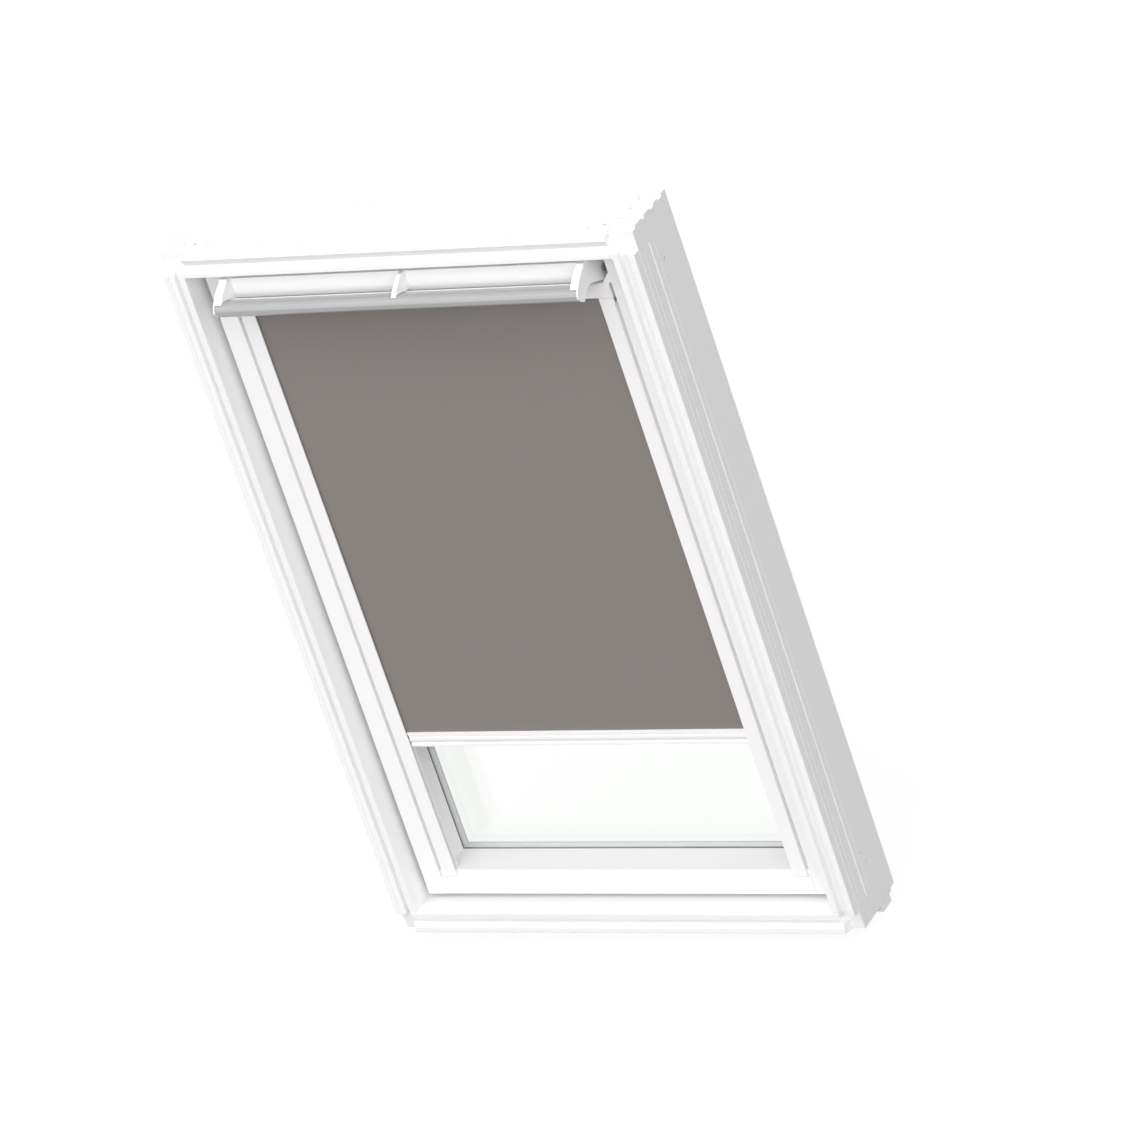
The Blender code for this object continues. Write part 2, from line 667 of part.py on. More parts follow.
def cut_stile_pockets(rail, low, high, bands_kept, parent):
    """Take out of the head or sill what the stiles' fingers fill.

    The front layer leaves the bands in place over the depth given as kept.
    """
    stile_layers, rail_layers = finger_layers()
    for side in (-1, 1):
        for index, layer in enumerate(stile_layers):
            near, far = span(side, finger_reach(layer), FRAME_HALF + OVERRUN)
            front = layer[0] - GAP / 2
            if index == 0 and bands_kept:
                front = layer[0] + bands_kept - GAP
            name = f"{rail.name}_pocket_{side_name(side)}_{index}"
            cut(rail, box(name, (near, front, low), (far, layer[1] + GAP / 2, high), parent))


def make_drip_strip(parent):
    section = [
        (DRIP_FRONT, -GAP, 0),
        (DRIP_FRONT, -DRIP_DROP + 1.5 * MM, 1 * MM),
        (DRIP_FRONT + 4 * MM, -DRIP_DROP, 1 * MM),
        (DRIP_BACK - 1 * MM, -DRIP_DROP, 0.6 * MM),
        (DRIP_BACK, -DRIP_DROP + 2 * MM, 0.6 * MM),
        (DRIP_BACK, -GAP, 0),
    ]
    strip = prism("drip_strip", section, "X", -FRAME_HALF, FRAME_HALF, parent)
    return finish(strip, WHITE_PLASTIC)


def make_pivot_plate(side, parent):
    """Plate on the frame's reveal with the pin that the sash turns on."""
    name = "pivot_plate_" + side_name(side)
    outer = REVEAL_HALF - GAP
    inner = outer - PIVOT_PLATE_THICKNESS
    corner = 6 * MM
    outline = [(a * PIVOT_PLATE_HALF_DEPTH, b * PIVOT_PLATE_HALF_HEIGHT, corner)
               for a, b in ((-1, -1), (1, -1), (1, 1), (-1, 1))]
    plate = prism(name, outline, "X", *span(side, inner, outer), parent, about=PIVOT)
    pin_end = SASH_HALF - PIVOT_PIN_REACH
    join(plate, rod(name + "_pin", PIVOT_PIN_RADIUS, (side * (inner + PLATE_BITE), PIVOT_DEPTH, PIVOT_HEIGHT),
                    (side * pin_end, PIVOT_DEPTH, PIVOT_HEIGHT), parent, ROUND_STEPS))
    for step in (-1, 1):
        height = PIVOT_HEIGHT + step * SCREW_OFFSET
        cut(plate, rod(f"{name}_hole_{step}", SCREW_RADIUS + GAP,
                       (side * (inner - OVERRUN), PIVOT_DEPTH, height),
                       (side * (outer + OVERRUN), PIVOT_DEPTH, height), parent))
    return finish(plate, STEEL)


def make_pivot_screw(side, step, parent):
    name = f"pivot_screw_{side_name(side)}_{'upper' if step > 0 else 'lower'}"
    height = PIVOT_HEIGHT + step * SCREW_OFFSET
    seat = REVEAL_HALF - 2 * GAP - PIVOT_PLATE_THICKNESS
    screw = rod(name, SCREW_HEAD_RADIUS, (side * seat, PIVOT_DEPTH, height),
                (side * (seat - SCREW_HEAD_HEIGHT), PIVOT_DEPTH, height), parent)
    inside_head = seat - SCREW_HEAD_HEIGHT / 2
    join(screw, rod(name + "_shank", SCREW_RADIUS, (side * inside_head, PIVOT_DEPTH, height),
                    (side * (seat + SCREW_LENGTH), PIVOT_DEPTH, height), parent))
    return finish(screw, STEEL)


def make_pivot_bushing(side, parent):
    inner = PIVOT_PIN_RADIUS + PIVOT_CLEARANCE
    bushing = ring("pivot_bushing_" + side_name(side), inner + BUSHING_WALL, inner,
                   *span(side, SASH_HALF - BUSHING_LENGTH, SASH_HALF - GAP), PIVOT, parent)
    return finish(bushing, GREY_PLASTIC)


def make_sash_stile(side, parent):
    name = "sash_stile_" + side_name(side)
    edge = 0.6 * MM
    section = [
        (side * STILE_INNER, SASH_FRONT, edge),
        (side * SASH_HALF, SASH_FRONT, edge),
        (side * SASH_HALF, SASH_BACK, 0),
        (side * STILE_INNER, SASH_BACK, 0),
    ]
    stile = prism(name, section, "Z", SASH_BOTTOM, SASH_TOP, parent)
    near, far = span(side, SIGHT_HALF, STILE_INNER + PLATE_BITE)
    join(stile, box(name + "_lip", (near, LIP_FRONT, SIGHT_BOTTOM + GAP),
                    (far, GLASS_SEAT, SIGHT_TOP - GAP), parent))
    near, far = span(side, CHANNEL_OUTER + GAP, STILE_INNER)
    cut(stile, box(name + "_lip_slot", (near, LIP_FRONT - OVERRUN, SIGHT_BOTTOM),
                   (far, LIP_FRONT + LIP_SLOT_DEPTH, SIGHT_TOP), parent))
    near, far = span(side, STILE_INNER - OVERRUN, GLASS_HALF + GLASS_PLAY)
    cut(stile, box(name + "_rebate", (near, GLASS_SEAT, GLASS_BOTTOM - GLASS_PLAY),
                   (far, SASH_BACK + OVERRUN, GLASS_TOP + GLASS_PLAY), parent))
    cut(stile, rod(name + "_bushing_hole", PIVOT_PIN_RADIUS + PIVOT_CLEARANCE + BUSHING_WALL + GAP,
                   (side * (SASH_HALF - BUSHING_LENGTH - GAP), PIVOT_DEPTH, PIVOT_HEIGHT),
                   (side * (SASH_HALF + OVERRUN), PIVOT_DEPTH, PIVOT_HEIGHT), parent, ROUND_STEPS))
    return finish(stile, WHITE_PAINT)


def make_sash_bottom_rail(parent):
    edge = 0.6 * MM
    face_top = SASH_BOTTOM + RAIL_FACE
    groove_top = face_top + RAIL_GROOVE
    section = [
        (SASH_FRONT, SASH_BOTTOM, edge),
        (SASH_FRONT, face_top, edge),
        (LIP_FRONT + 1 * MM, face_top, 0),
        (LIP_FRONT + 1 * MM, groove_top, 0),
        (LIP_FRONT, groove_top, 0),
        (LIP_FRONT, SIGHT_BOTTOM, edge),
        (GLASS_SEAT, SIGHT_BOTTOM, 0),
        (GLASS_SEAT, GLASS_BOTTOM - GLASS_PLAY, 0),
        (SASH_BACK, GLASS_BOTTOM - GLASS_PLAY, 0),
        (SASH_BACK, SASH_BOTTOM, 0),
    ]
    half = STILE_INNER - GAP
    return finish(prism("sash_bottom_rail", section, "X", -half, half, parent), WHITE_PAINT)


def make_sash_top_rail(parent):
    section = [
        (TOP_RAIL_FRONT, SIGHT_TOP, 0.6 * MM),
        (TOP_RAIL_FRONT, SASH_TOP, 0.6 * MM),
        (SASH_BACK, SASH_TOP, 0),
        (SASH_BACK, GLASS_TOP + GLASS_PLAY, 0),
        (GLASS_SEAT, GLASS_TOP + GLASS_PLAY, 0),
        (GLASS_SEAT, SIGHT_TOP, 0),
    ]
    half = STILE_INNER - GAP
    return finish(prism("sash_top_rail", section, "X", -half, half, parent), WHITE_PAINT)


def make_pane(name, front, parent):
    back = front + PANE_THICKNESS
    pane = box(name, (-GLASS_HALF, front, GLASS_BOTTOM), (GLASS_HALF, back, GLASS_TOP), parent)
    return finish(pane, CLEAR_GLASS)


def make_glass_ring(name, front, back, inset, width, look, parent):
    """Rectangular ring around the sight opening, between the glass and what it rests on."""
    def rectangle(grow):
        half = SIGHT_HALF + grow
        low = SIGHT_BOTTOM - grow
        high = SIGHT_TOP + grow
        return [(-half, low, 0), (half, low, 0), (half, high, 0), (-half, high, 0)]
    made = prism(name, rectangle(inset + width), "Y", front, back, parent, hole=rectangle(inset))
    return finish(made, look)


def make_sash_cover(name, rail, side, parent):
    """Outer metal cover of one sash member: a plate with a leg down the sash's edge."""
    back = COVER_FRONT + COVER_THICKNESS
    leg_front = COVER_FRONT - COVER_LEG
    reach = GAP + COVER_THICKNESS
    if rail:
        edge, sight = (SASH_TOP, SIGHT_TOP) if side > 0 else (SASH_BOTTOM, SIGHT_BOTTOM)
    else:
        edge, sight = side * SASH_HALF, side * SIGHT_HALF
    section = [
        (edge + side * reach, back, 0.5 * MM),
        (edge + side * reach, leg_front, 0),
        (edge + side * GAP, leg_front, 0),
        (edge + side * GAP, COVER_FRONT, 0),
        (sight + side * COVER_SETBACK, COVER_FRONT, 0),
        (sight + side * COVER_SETBACK, back, 0),
    ]
    if rail:
        section = [(depth, height, radius) for height, depth, radius in section]
        half = SASH_HALF + reach
        return finish(prism(name, section, "X", -half, half, parent), ANODISED)
    low = SIGHT_BOTTOM - COVER_SETBACK + GAP
    high = SIGHT_TOP + COVER_SETBACK - GAP
    return finish(prism(name, section, "Z", low, high, parent), ANODISED)


def make_sash_seal(name, direction, parent):
    """Rubber strip round one half of the sash edge, open at the pivots."""
    outer = REVEAL_HALF - SEAL_CLEARANCE
    inner = SASH_HALF + GAP
    stop = PIVOT_HEIGHT + direction * SEAL_STOP
    if direction > 0:
        outer_end, inner_end = REVEAL_TOP - SEAL_CLEARANCE, SASH_TOP + GAP
    else:
        outer_end, inner_end = SILL_INSET + SEAL_CLEARANCE, SASH_BOTTOM - GAP
    outline = [(-outer, stop, 0), (-outer, outer_end, 0), (outer, outer_end, 0), (outer, stop, 0),
               (inner, stop, 0), (inner, inner_end, 0), (-inner, inner_end, 0), (-inner, stop, 0)]
    seal = prism(name, outline, "Y", SEAL_FRONT, SEAL_FRONT + SEAL_DEPTH, parent)
    return finish(seal, DARK_RUBBER)


def make_side_channel(side, parent):
    """Channel on the sash stile that covers and guides one edge of the cloth."""
    name = "side_channel_" + side_name(side)
    edge = 0.5 * MM
    seat = LIP_FRONT - GAP
    back_x = SIGHT_HALF - GAP
    section = [
        (CHANNEL_OUTER, SASH_FRONT, edge),
        (CHANNEL_OUTER, seat, 0),
        (back_x, seat, 0),
        (back_x, CHANNEL_BACK, 0),
        (CHANNEL_INNER, CHANNEL_BACK, 0),
        (CHANNEL_INNER, SLOT_BACK, 0),
        (SLOT_END, SLOT_BACK, 0),
        (SLOT_END, SLOT_FRONT, 0),
        (CHANNEL_INNER, SLOT_FRONT, 0),
        (CHANNEL_INNER, SASH_FRONT, edge),
    ]
    section = [(side * x, depth, radius) for x, depth, radius in section]
    low = SASH_BOTTOM + RAIL_FACE + RAIL_GROOVE
    channel = prism(name, section, "Z", low, HEADBOX_BOTTOM - GAP, parent)
    near, far = span(side, CHANNEL_INNER - OVERRUN, CHANNEL_OUTER + OVERRUN)
    cut(channel, box(name + "_foot", (near, seat, low - OVERRUN),
                     (far, CHANNEL_BACK + OVERRUN, SIGHT_BOTTOM + GAP), parent))
    return finish(channel, WHITE_ALUMINIUM)


def make_headbox(parent):
    """Case around the roller, open below at the front where the cloth comes out."""
    wall = HEADBOX_WALL
    slot_front = CLOTH_FRONT - CLOTH_SLOT / 2
    slot_back = CLOTH_BACK + CLOTH_SLOT
    section = [
        (slot_front, HEADBOX_BOTTOM, 0),
        (SASH_FRONT, HEADBOX_BOTTOM, 1 * MM),
        (SASH_FRONT, HEADBOX_TOP, 3 * MM),
        (HEADBOX_BACK, HEADBOX_TOP, 0),
        (HEADBOX_BACK, HEADBOX_BOTTOM, 0),
        (slot_back, HEADBOX_BOTTOM, 0),
        (slot_back, HEADBOX_BOTTOM + wall, 0),
        (HEADBOX_BACK - wall, HEADBOX_BOTTOM + wall, 0),
        (HEADBOX_BACK - wall, HEADBOX_TOP - wall, 0),
        (SASH_FRONT + wall, HEADBOX_TOP - wall, 1.5 * MM),
        (SASH_FRONT + wall, HEADBOX_BOTTOM + wall, 0),
        (slot_front, HEADBOX_BOTTOM + wall, 0),
    ]
    half = CAP_INNER - GAP
    return finish(prism("blind_headbox", section, "X", -half, half, parent), WHITE_ALUMINIUM)


def make_headbox_cap(side, parent):
    """End of the case, with the pin that the roller turns on."""
    name = "headbox_cap_" + side_name(side)
    outline = [
        (SASH_FRONT, HEADBOX_BOTTOM, 1 * MM),
        (SASH_FRONT, HEADBOX_TOP, 3 * MM),
        (HEADBOX_BACK, HEADBOX_TOP, 0),
        (HEADBOX_BACK, HEADBOX_BOTTOM, 0),
    ]
    cap = prism(name, outline, "X", *span(side, CAP_INNER, CAP_OUTER), parent)
    join(cap, rod(name + "_pin", TUBE_BORE - ROLLER_PIN_CLEARANCE,
                  (side * (CAP_INNER + HEADBOX_CAP_THICKNESS / 2), ROLL_DEPTH, ROLL_HEIGHT),
                  (side * (CAP_INNER - ROLLER_PIN_REACH), ROLL_DEPTH, ROLL_HEIGHT), parent, ROUND_STEPS))
    return finish(cap, WHITE_PLASTIC)


def make_headbox_clip(side, parent):
    """Angle that holds the case to the sash stile above it."""
    name = "headbox_clip_" + side_name(side)
    outer = STILE_INNER - GAP
    low = HEADBOX_TOP + GAP
    front = SASH_FRONT + 1 * MM
    outline = [
        (side * outer, low, 0),
        (side * outer, low + CLIP_HEIGHT, 1 * MM),
        (side * (outer - CLIP_WALL), low + CLIP_HEIGHT, 0.5 * MM),
        (side * (outer - CLIP_WIDTH), low + 2 * CLIP_WALL, 1 * MM),
        (side * (outer - CLIP_WIDTH), low, 0),
    ]
    return finish(prism(name, outline, "Y", front, front + CLIP_DEPTH, parent), WHITE_PLASTIC)


def make_roller_tube(parent):
    half = CAP_INNER - 2 * GAP
    return finish(ring("roller_tube", TUBE_RADIUS, TUBE_BORE, -half, half, ROLLER, parent), ANODISED)


def make_rolled_cloth(parent):
    """What is left of the cloth on its tube."""
    roll = ring("rolled_cloth", ROLL_RADIUS, TUBE_RADIUS + GAP, -CLOTH_HALF, CLOTH_HALF, ROLLER, parent)
    return finish(roll, TAUPE_CLOTH)


def make_cloth(parent):
    cloth = box("blind_cloth", (-CLOTH_HALF, CLOTH_FRONT, BAR_TOP - CLOTH_IN_BAR),
                (CLOTH_HALF, CLOTH_BACK, ROLL_HEIGHT), parent)
    return finish(cloth, TAUPE_CLOTH)


def make_bottom_bar(parent):
    """Bar at the cloth's lower end: two lips and a groove in front, a slot for the cloth on top."""
    front = BAR_FRONT
    back = BAR_FRONT + BAR_DEPTH
    recess = front + 1.2 * MM
    scoop = front + 3.2 * MM
    slot_floor = BAR_TOP - CLOTH_IN_BAR - 1 * MM
    edge = 0.4 * MM
    section = [
        (CLOTH_FRONT - GAP, BAR_TOP, 0),
        (front, BAR_TOP, edge),
        (front, BAR_TOP - 4.9 * MM, 0),
        (recess, BAR_TOP - 5.4 * MM, 0),
        (recess, BAR_TOP - 8.6 * MM, 0),
        (front, BAR_TOP - 9.2 * MM, 0),
        (front, BAR_TOP - 13.3 * MM, edge),
        (scoop, BAR_TOP - 19.8 * MM, 0),
        (front + 0.8 * MM, BAR_TOP - 20.8 * MM, edge),
        (front + 0.8 * MM, BAR_UNDERSIDE, edge),
        (back, BAR_UNDERSIDE, edge),
        (back, BAR_TOP, edge),
        (CLOTH_BACK + GAP, BAR_TOP, 0),
        (CLOTH_BACK + GAP, slot_floor, 0),
        (CLOTH_FRONT - GAP, slot_floor, 0),
    ]
    bar = prism("bottom_bar", section, "X", -BAR_HALF, BAR_HALF, parent)
    notch_high, notch_low = BAR_NOTCH_BELOW_TOP
    cut(bar, box("bottom_bar_notch", (-BAR_HALF - OVERRUN, front - OVERRUN, BAR_TOP - notch_low),
                 (-BAR_HALF + BAR_NOTCH_LENGTH, recess, BAR_TOP - notch_high), parent))
    return finish(bar, WHITE_ALUMINIUM)


def make_slider(side, parent):
    """Shoe at the end of the bottom bar that runs in the side channel's slot."""
    near, far = span(side, BAR_HALF + GAP, SLOT_END - SLIDER_PLAY)
    low = BAR_UNDERSIDE + SLIDER_LIFT
    shoe = box("bar_slider_" + side_name(side), (near, SLOT_FRONT + SLIDER_PLAY, low),
               (far, SLOT_BACK - SLIDER_PLAY, low + SLIDER_HEIGHT), parent)
    return finish(shoe, GREY_PLASTIC)


def flap_edge(radius, height):
    """Angle on the flap's circle at a height from the circle's middle, on the room side."""
    return math.pi - math.asin(height / radius)


def make_vent_flap(parent):
    """Curved flap between the end arms, with a short return along each long edge."""
    inner_radius = FLAP_RADIUS - FLAP_THICKNESS
    inner_height = FLAP_HALF_HEIGHT - FLAP_THICKNESS
    depth, height = FLAP_CENTRE
    low = height - FLAP_HALF_HEIGHT
    high = height + FLAP_HALF_HEIGHT
    back = depth - FLAP_RADIUS + FLAP_RETURN + FLAP_THICKNESS
    outer = arc(FLAP_CENTRE, FLAP_RADIUS, flap_edge(FLAP_RADIUS, FLAP_HALF_HEIGHT),
                flap_edge(FLAP_RADIUS, -FLAP_HALF_HEIGHT))
    inner = arc(FLAP_CENTRE, inner_radius, flap_edge(inner_radius, -inner_height),
                flap_edge(inner_radius, inner_height))
    outline = outer + [(back, low, 0), (back, low + FLAP_THICKNESS, 0)]
    outline += inner + [(back, high - FLAP_THICKNESS, 0), (back, high, 0)]
    half = ARM_INNER - GAP
    return finish(prism("vent_flap", outline, "X", -half, half, parent, about=HINGE), WHITE_PLASTIC)


def make_control_bar(parent):
    """Hollow bar along the flap's front, with a soft hump on top, a nose and a lower lip."""
    outline = [
        (-48.3 * MM, 1.9 * MM, 0.4 * MM),
        (-62.4 * MM, 8.1 * MM, 8 * MM),
        (-71 * MM, 9.4 * MM, 9 * MM),
        (-79 * MM, 6.6 * MM, 5 * MM),
        (-82 * MM, 1.4 * MM, 3 * MM),
        (-77 * MM, -8 * MM, 6 * MM),
        (-70.5 * MM, -13.5 * MM, 1 * MM),
        (-68 * MM, -13.2 * MM, 1 * MM),
        (-60 * MM, -5.3 * MM, 6 * MM),
        (-48.3 * MM, -1.3 * MM, 0.4 * MM),
    ]
    hollow = [
        (-51.5 * MM, 0.6 * MM, 0),
        (-62.6 * MM, 6.1 * MM, 6 * MM),
        (-70.6 * MM, 7.4 * MM, 7 * MM),
        (-77.6 * MM, 5 * MM, 3 * MM),
        (-79.6 * MM, 1.2 * MM, 1.5 * MM),
        (-75.4 * MM, -7.1 * MM, 3 * MM),
        (-70.3 * MM, -11.2 * MM, 0),
        (-61 * MM, -3.4 * MM, 4 * MM),
        (-51.5 * MM, -0.2 * MM, 0),
    ]
    half = PLATE_INNER - GAP
    return finish(prism("control_bar", outline, "X", -half, half, parent, about=HINGE, hole=hollow), ANODISED)


def make_bar_lip(parent):
    """White strip along the control bar's rear edge."""
    outline = [
        (-48 * MM, -1.1 * MM, 0),
        (-44.4 * MM, -0.2 * MM, 0.5 * MM),
        (-44.4 * MM, 1.8 * MM, 0.8 * MM),
        (-48 * MM, 2 * MM, 0.5 * MM),
    ]
    half = ARM_INNER - GAP
    return finish(prism("control_bar_lip", outline, "X", -half, half, parent, about=HINGE), WHITE_PLASTIC)


# Outlines of the arms as (depth, height, radius) from the hinge axis: the front edge from its top down to
# the bar, the way back over the bar, and the whole edge of an end plate
ARM_FRONT = [
    (-45 * MM, 28.5 * MM, 3 * MM),
    (-54.8 * MM, 24.4 * MM, 14 * MM),
    (-66 * MM, 17.6 * MM, 14 * MM),
    (-73.6 * MM, 11.6 * MM, 5 * MM),
    (-77.4 * MM, 7.7 * MM, 1 * MM),
]
ARM_OVER_BAR = [
    (-71 * MM, 9.9 * MM, 6 * MM),
    (-62.2 * MM, 8.6 * MM, 6 * MM),
    (-47.5 * MM, 2.5 * MM, 0),
]
PLATE_OUTLINE = [
    (-43.6 * MM, 33.2 * MM, 1 * MM),
    (-44.6 * MM, 28.9 * MM, 3 * MM),
    (-55.2 * MM, 24.9 * MM, 14 * MM),
    (-66.4 * MM, 18.1 * MM, 14 * MM),
    (-74.1 * MM, 12 * MM, 5 * MM),
    (-80.4 * MM, 5.6 * MM, 6 * MM),
    (-82.6 * MM, 0.3 * MM, 3 * MM),
    (-82.6 * MM, -2.4 * MM, 3 * MM),
    (-77 * MM, -9.6 * MM, 5 * MM),
    (-69 * MM, -14.4 * MM, 2.5 * MM),
    (-60 * MM, -5.8 * MM, 6 * MM),
    (-46 * MM, -1.4 * MM, 2 * MM),
    (-36.7 * MM, -2.6 * MM, 4 * MM),
    (-25 * MM, -7.3 * MM, 6 * MM),
    (-9 * MM, -14.6 * MM, 5 * MM),
    (6.5 * MM, -11.5 * MM, 5 * MM),
    (6.5 * MM, 9 * MM, 5 * MM),
    (-3.5 * MM, 23.8 * MM, 6 * MM),
    (-19.5 * MM, 33.2 * MM, 4 * MM),
]


def make_end_arm(side, parent):
    """Arm at one end of the flap with the thin plate that closes the bar and turns on the hinge pin."""
    name = "bar_arm_" + side_name(side)
    behind = [
        (-45 * MM, 2.4 * MM, 0),
        (-43 * MM, 0.5 * MM, 0),
        (-33 * MM, -3 * MM, 2 * MM),
        (-25 * MM, -6 * MM, 2 * MM),
        (-9 * MM, -12 * MM, 4 * MM),
        (6 * MM, -10 * MM, 5 * MM),
        (6 * MM, 8.5 * MM, 5 * MM),
        (-4 * MM, 23 * MM, 6 * MM),
        (-20 * MM, 32.7 * MM, 4 * MM),
        (-44 * MM, 32.7 * MM, 1 * MM),
    ]
    arm = prism(name, ARM_FRONT + ARM_OVER_BAR + behind, "X",
                *span(side, ARM_INNER, PLATE_INNER + PLATE_BITE), parent, about=HINGE)
    join(arm, prism(name + "_plate", PLATE_OUTLINE, "X",
                    *span(side, PLATE_INNER, PLATE_OUTER), parent, about=HINGE))
    hole_end = PLATE_OUTER - HINGE_PIN_REACH - GAP
    cut(arm, rod(name + "_pin_hole", HINGE_PIN_RADIUS + HINGE_PIN_CLEARANCE,
                 (side * hole_end, HINGE_DEPTH, HINGE_HEIGHT),
                 (side * (PLATE_OUTER + OVERRUN), HINGE_DEPTH, HINGE_HEIGHT), parent, ROUND_STEPS))
    return finish(arm, WHITE_PLASTIC)


def make_middle_arm(parent):
    """Arm at the middle that ties the bar to the flap's front."""
    clear_radius = FLAP_RADIUS + GAP
    lowest = -12 * MM
    highest = 15 * MM
    against_flap = arc(FLAP_CENTRE, clear_radius, flap_edge(clear_radius, lowest),
                       flap_edge(clear_radius, highest))
    top = FLAP_CENTRE[1] + highest + 1.5 * MM
    outline = ARM_FRONT + ARM_OVER_BAR + [(-45 * MM, 2.4 * MM, 0)] + against_flap
    outline += [(against_flap[-1][0], top, 0), (-44.9 * MM, top, 0.5 * MM)]
    arm = prism("bar_arm_middle", outline, "X", -MIDDLE_ARM_HALF, MIDDLE_ARM_HALF, parent, about=HINGE)
    return finish(arm, WHITE_PLASTIC)


def make_flap_bracket(side, parent):
    """Bracket on the sash's top rail with the pin that the flap turns on."""
    name = "flap_bracket_" + side_name(side)
    inner = PLATE_OUTER + BRACKET_PLAY
    foot_back = TOP_RAIL_FRONT - GAP - HINGE_DEPTH
    nose = 5 * MM
    outline = [
        (-nose, -nose, 4 * MM),
        (foot_back, -BRACKET_HALF_HEIGHT, 0),
        (foot_back, BRACKET_HALF_HEIGHT, 0),
        (-nose, nose, 4 * MM),
    ]
    bracket = prism(name, outline, "X", *span(side, inner, inner + BRACKET_THICKNESS), parent, about=HINGE)
    near, far = span(side, inner + BRACKET_THICKNESS / 2, inner + BRACKET_FOOT)
    back = TOP_RAIL_FRONT - GAP
    join(bracket, box(name + "_foot", (near, back - BRACKET_THICKNESS, HINGE_HEIGHT - BRACKET_HALF_HEIGHT),
                      (far, back, HINGE_HEIGHT + BRACKET_HALF_HEIGHT), parent))
    pin_start = inner + BRACKET_THICKNESS / 2
    pin_end = PLATE_OUTER - HINGE_PIN_REACH
    join(bracket, rod(name + "_pin", HINGE_PIN_RADIUS, (side * pin_start, HINGE_DEPTH, HINGE_HEIGHT),
                      (side * pin_end, HINGE_DEPTH, HINGE_HEIGHT), parent, ROUND_STEPS))
    return finish(bracket, GREY_PLASTIC)


def build_frame(carrier):
    make_frame_head(carrier)
    make_frame_sill(carrier)
    make_drip_strip(carrier)
    for side in (-1, 1):
        make_frame_stile(side, carrier)
        make_pivot_plate(side, carrier)
        for step in (-1, 1):
            make_pivot_screw(side, step, carrier)


def build_sash(carrier):
    make_sash_top_rail(carrier)
    make_sash_bottom_rail(carrier)
    make_pane("inner_pane", INNER_PANE_FRONT, carrier)
    make_pane("outer_pane", OUTER_PANE_FRONT, carrier)
    make_glass_ring("glazing_gasket", GASKET_FRONT, GASKET_FRONT + GASKET_THICKNESS,
                    GASKET_INSET, GLASS_COVER - 2 * GASKET_INSET, DARK_RUBBER, carrier)
    make_glass_ring("pane_spacer", INNER_PANE_FRONT + PANE_THICKNESS + GAP, OUTER_PANE_FRONT - GAP,
                    GASKET_INSET, SPACER_WIDTH, WARM_EDGE, carrier)
    make_sash_cover("sash_cover_top", True, 1, carrier)
    make_sash_cover("sash_cover_bottom", True, -1, carrier)
    make_sash_seal("sash_seal_upper", 1, carrier)
    make_sash_seal("sash_seal_lower", -1, carrier)
    for side in (-1, 1):
        make_sash_stile(side, carrier)
        make_sash_cover("sash_cover_" + side_name(side), False, side, carrier)
        make_pivot_bushing(side, carrier)
        make_flap_bracket(side, carrier)


def build_blind(sash, roller, slide):
    make_headbox(sash)
    make_cloth(sash)
    for side in (-1, 1):
        make_side_channel(side, sash)
        make_headbox_cap(side, sash)
        make_headbox_clip(side, sash)
        make_slider(side, slide)
    make_roller_tube(roller)
    make_rolled_cloth(roller)
    make_bottom_bar(slide)


def build_flap(carrier):
    make_vent_flap(carrier)
    make_control_bar(carrier)
    make_bar_lip(carrier)
    make_middle_arm(carrier)
    for side in (-1, 1):
        make_end_arm(side, carrier)


clear_scene()
PARTS = new_collection(COLLECTION)
CUTTERS = new_collection("cutters")
AXIS_PLACES = {}
frame_origin = new_axis("frame_origin", WINDOW)
nose_depth = HINGE_DEPTH + min(depth for depth, height, radius in PLATE_OUTLINE)
frame_origin.location = (0, -(nose_depth + FRAME_DEPTH) / 2, DRIP_DROP)
sash_pivot = new_axis("sash_pivot_axis", PIVOT, frame_origin)
flap_hinge = new_axis("vent_flap_hinge_axis", HINGE, sash_pivot)
roller_axis = new_axis("roller_axis", ROLLER, sash_pivot)
blind_slide = new_axis("blind_slide_axis", BAR_MIDDLE, sash_pivot)
build_frame(frame_origin)
build_sash(sash_pivot)
build_blind(sash_pivot, roller_axis, blind_slide)
build_flap(flap_hinge)
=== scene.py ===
"""Looks of a centre-pivot roof window with a roller blind, laid out as an add-on.

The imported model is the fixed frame. Its rigid pieces get their finishes here, and its soft pieces are made
anew: the cloth that hangs from the roller and the cloth that is wound on it. Sizes are in metres, in the
model's own frame: +X to the right seen from the room, +Y to the outside, +Z up the window.
"""

import math

import bpy
from bpy.props import FloatProperty, FloatVectorProperty, IntProperty, PointerProperty
from mathutils import Matrix, Vector


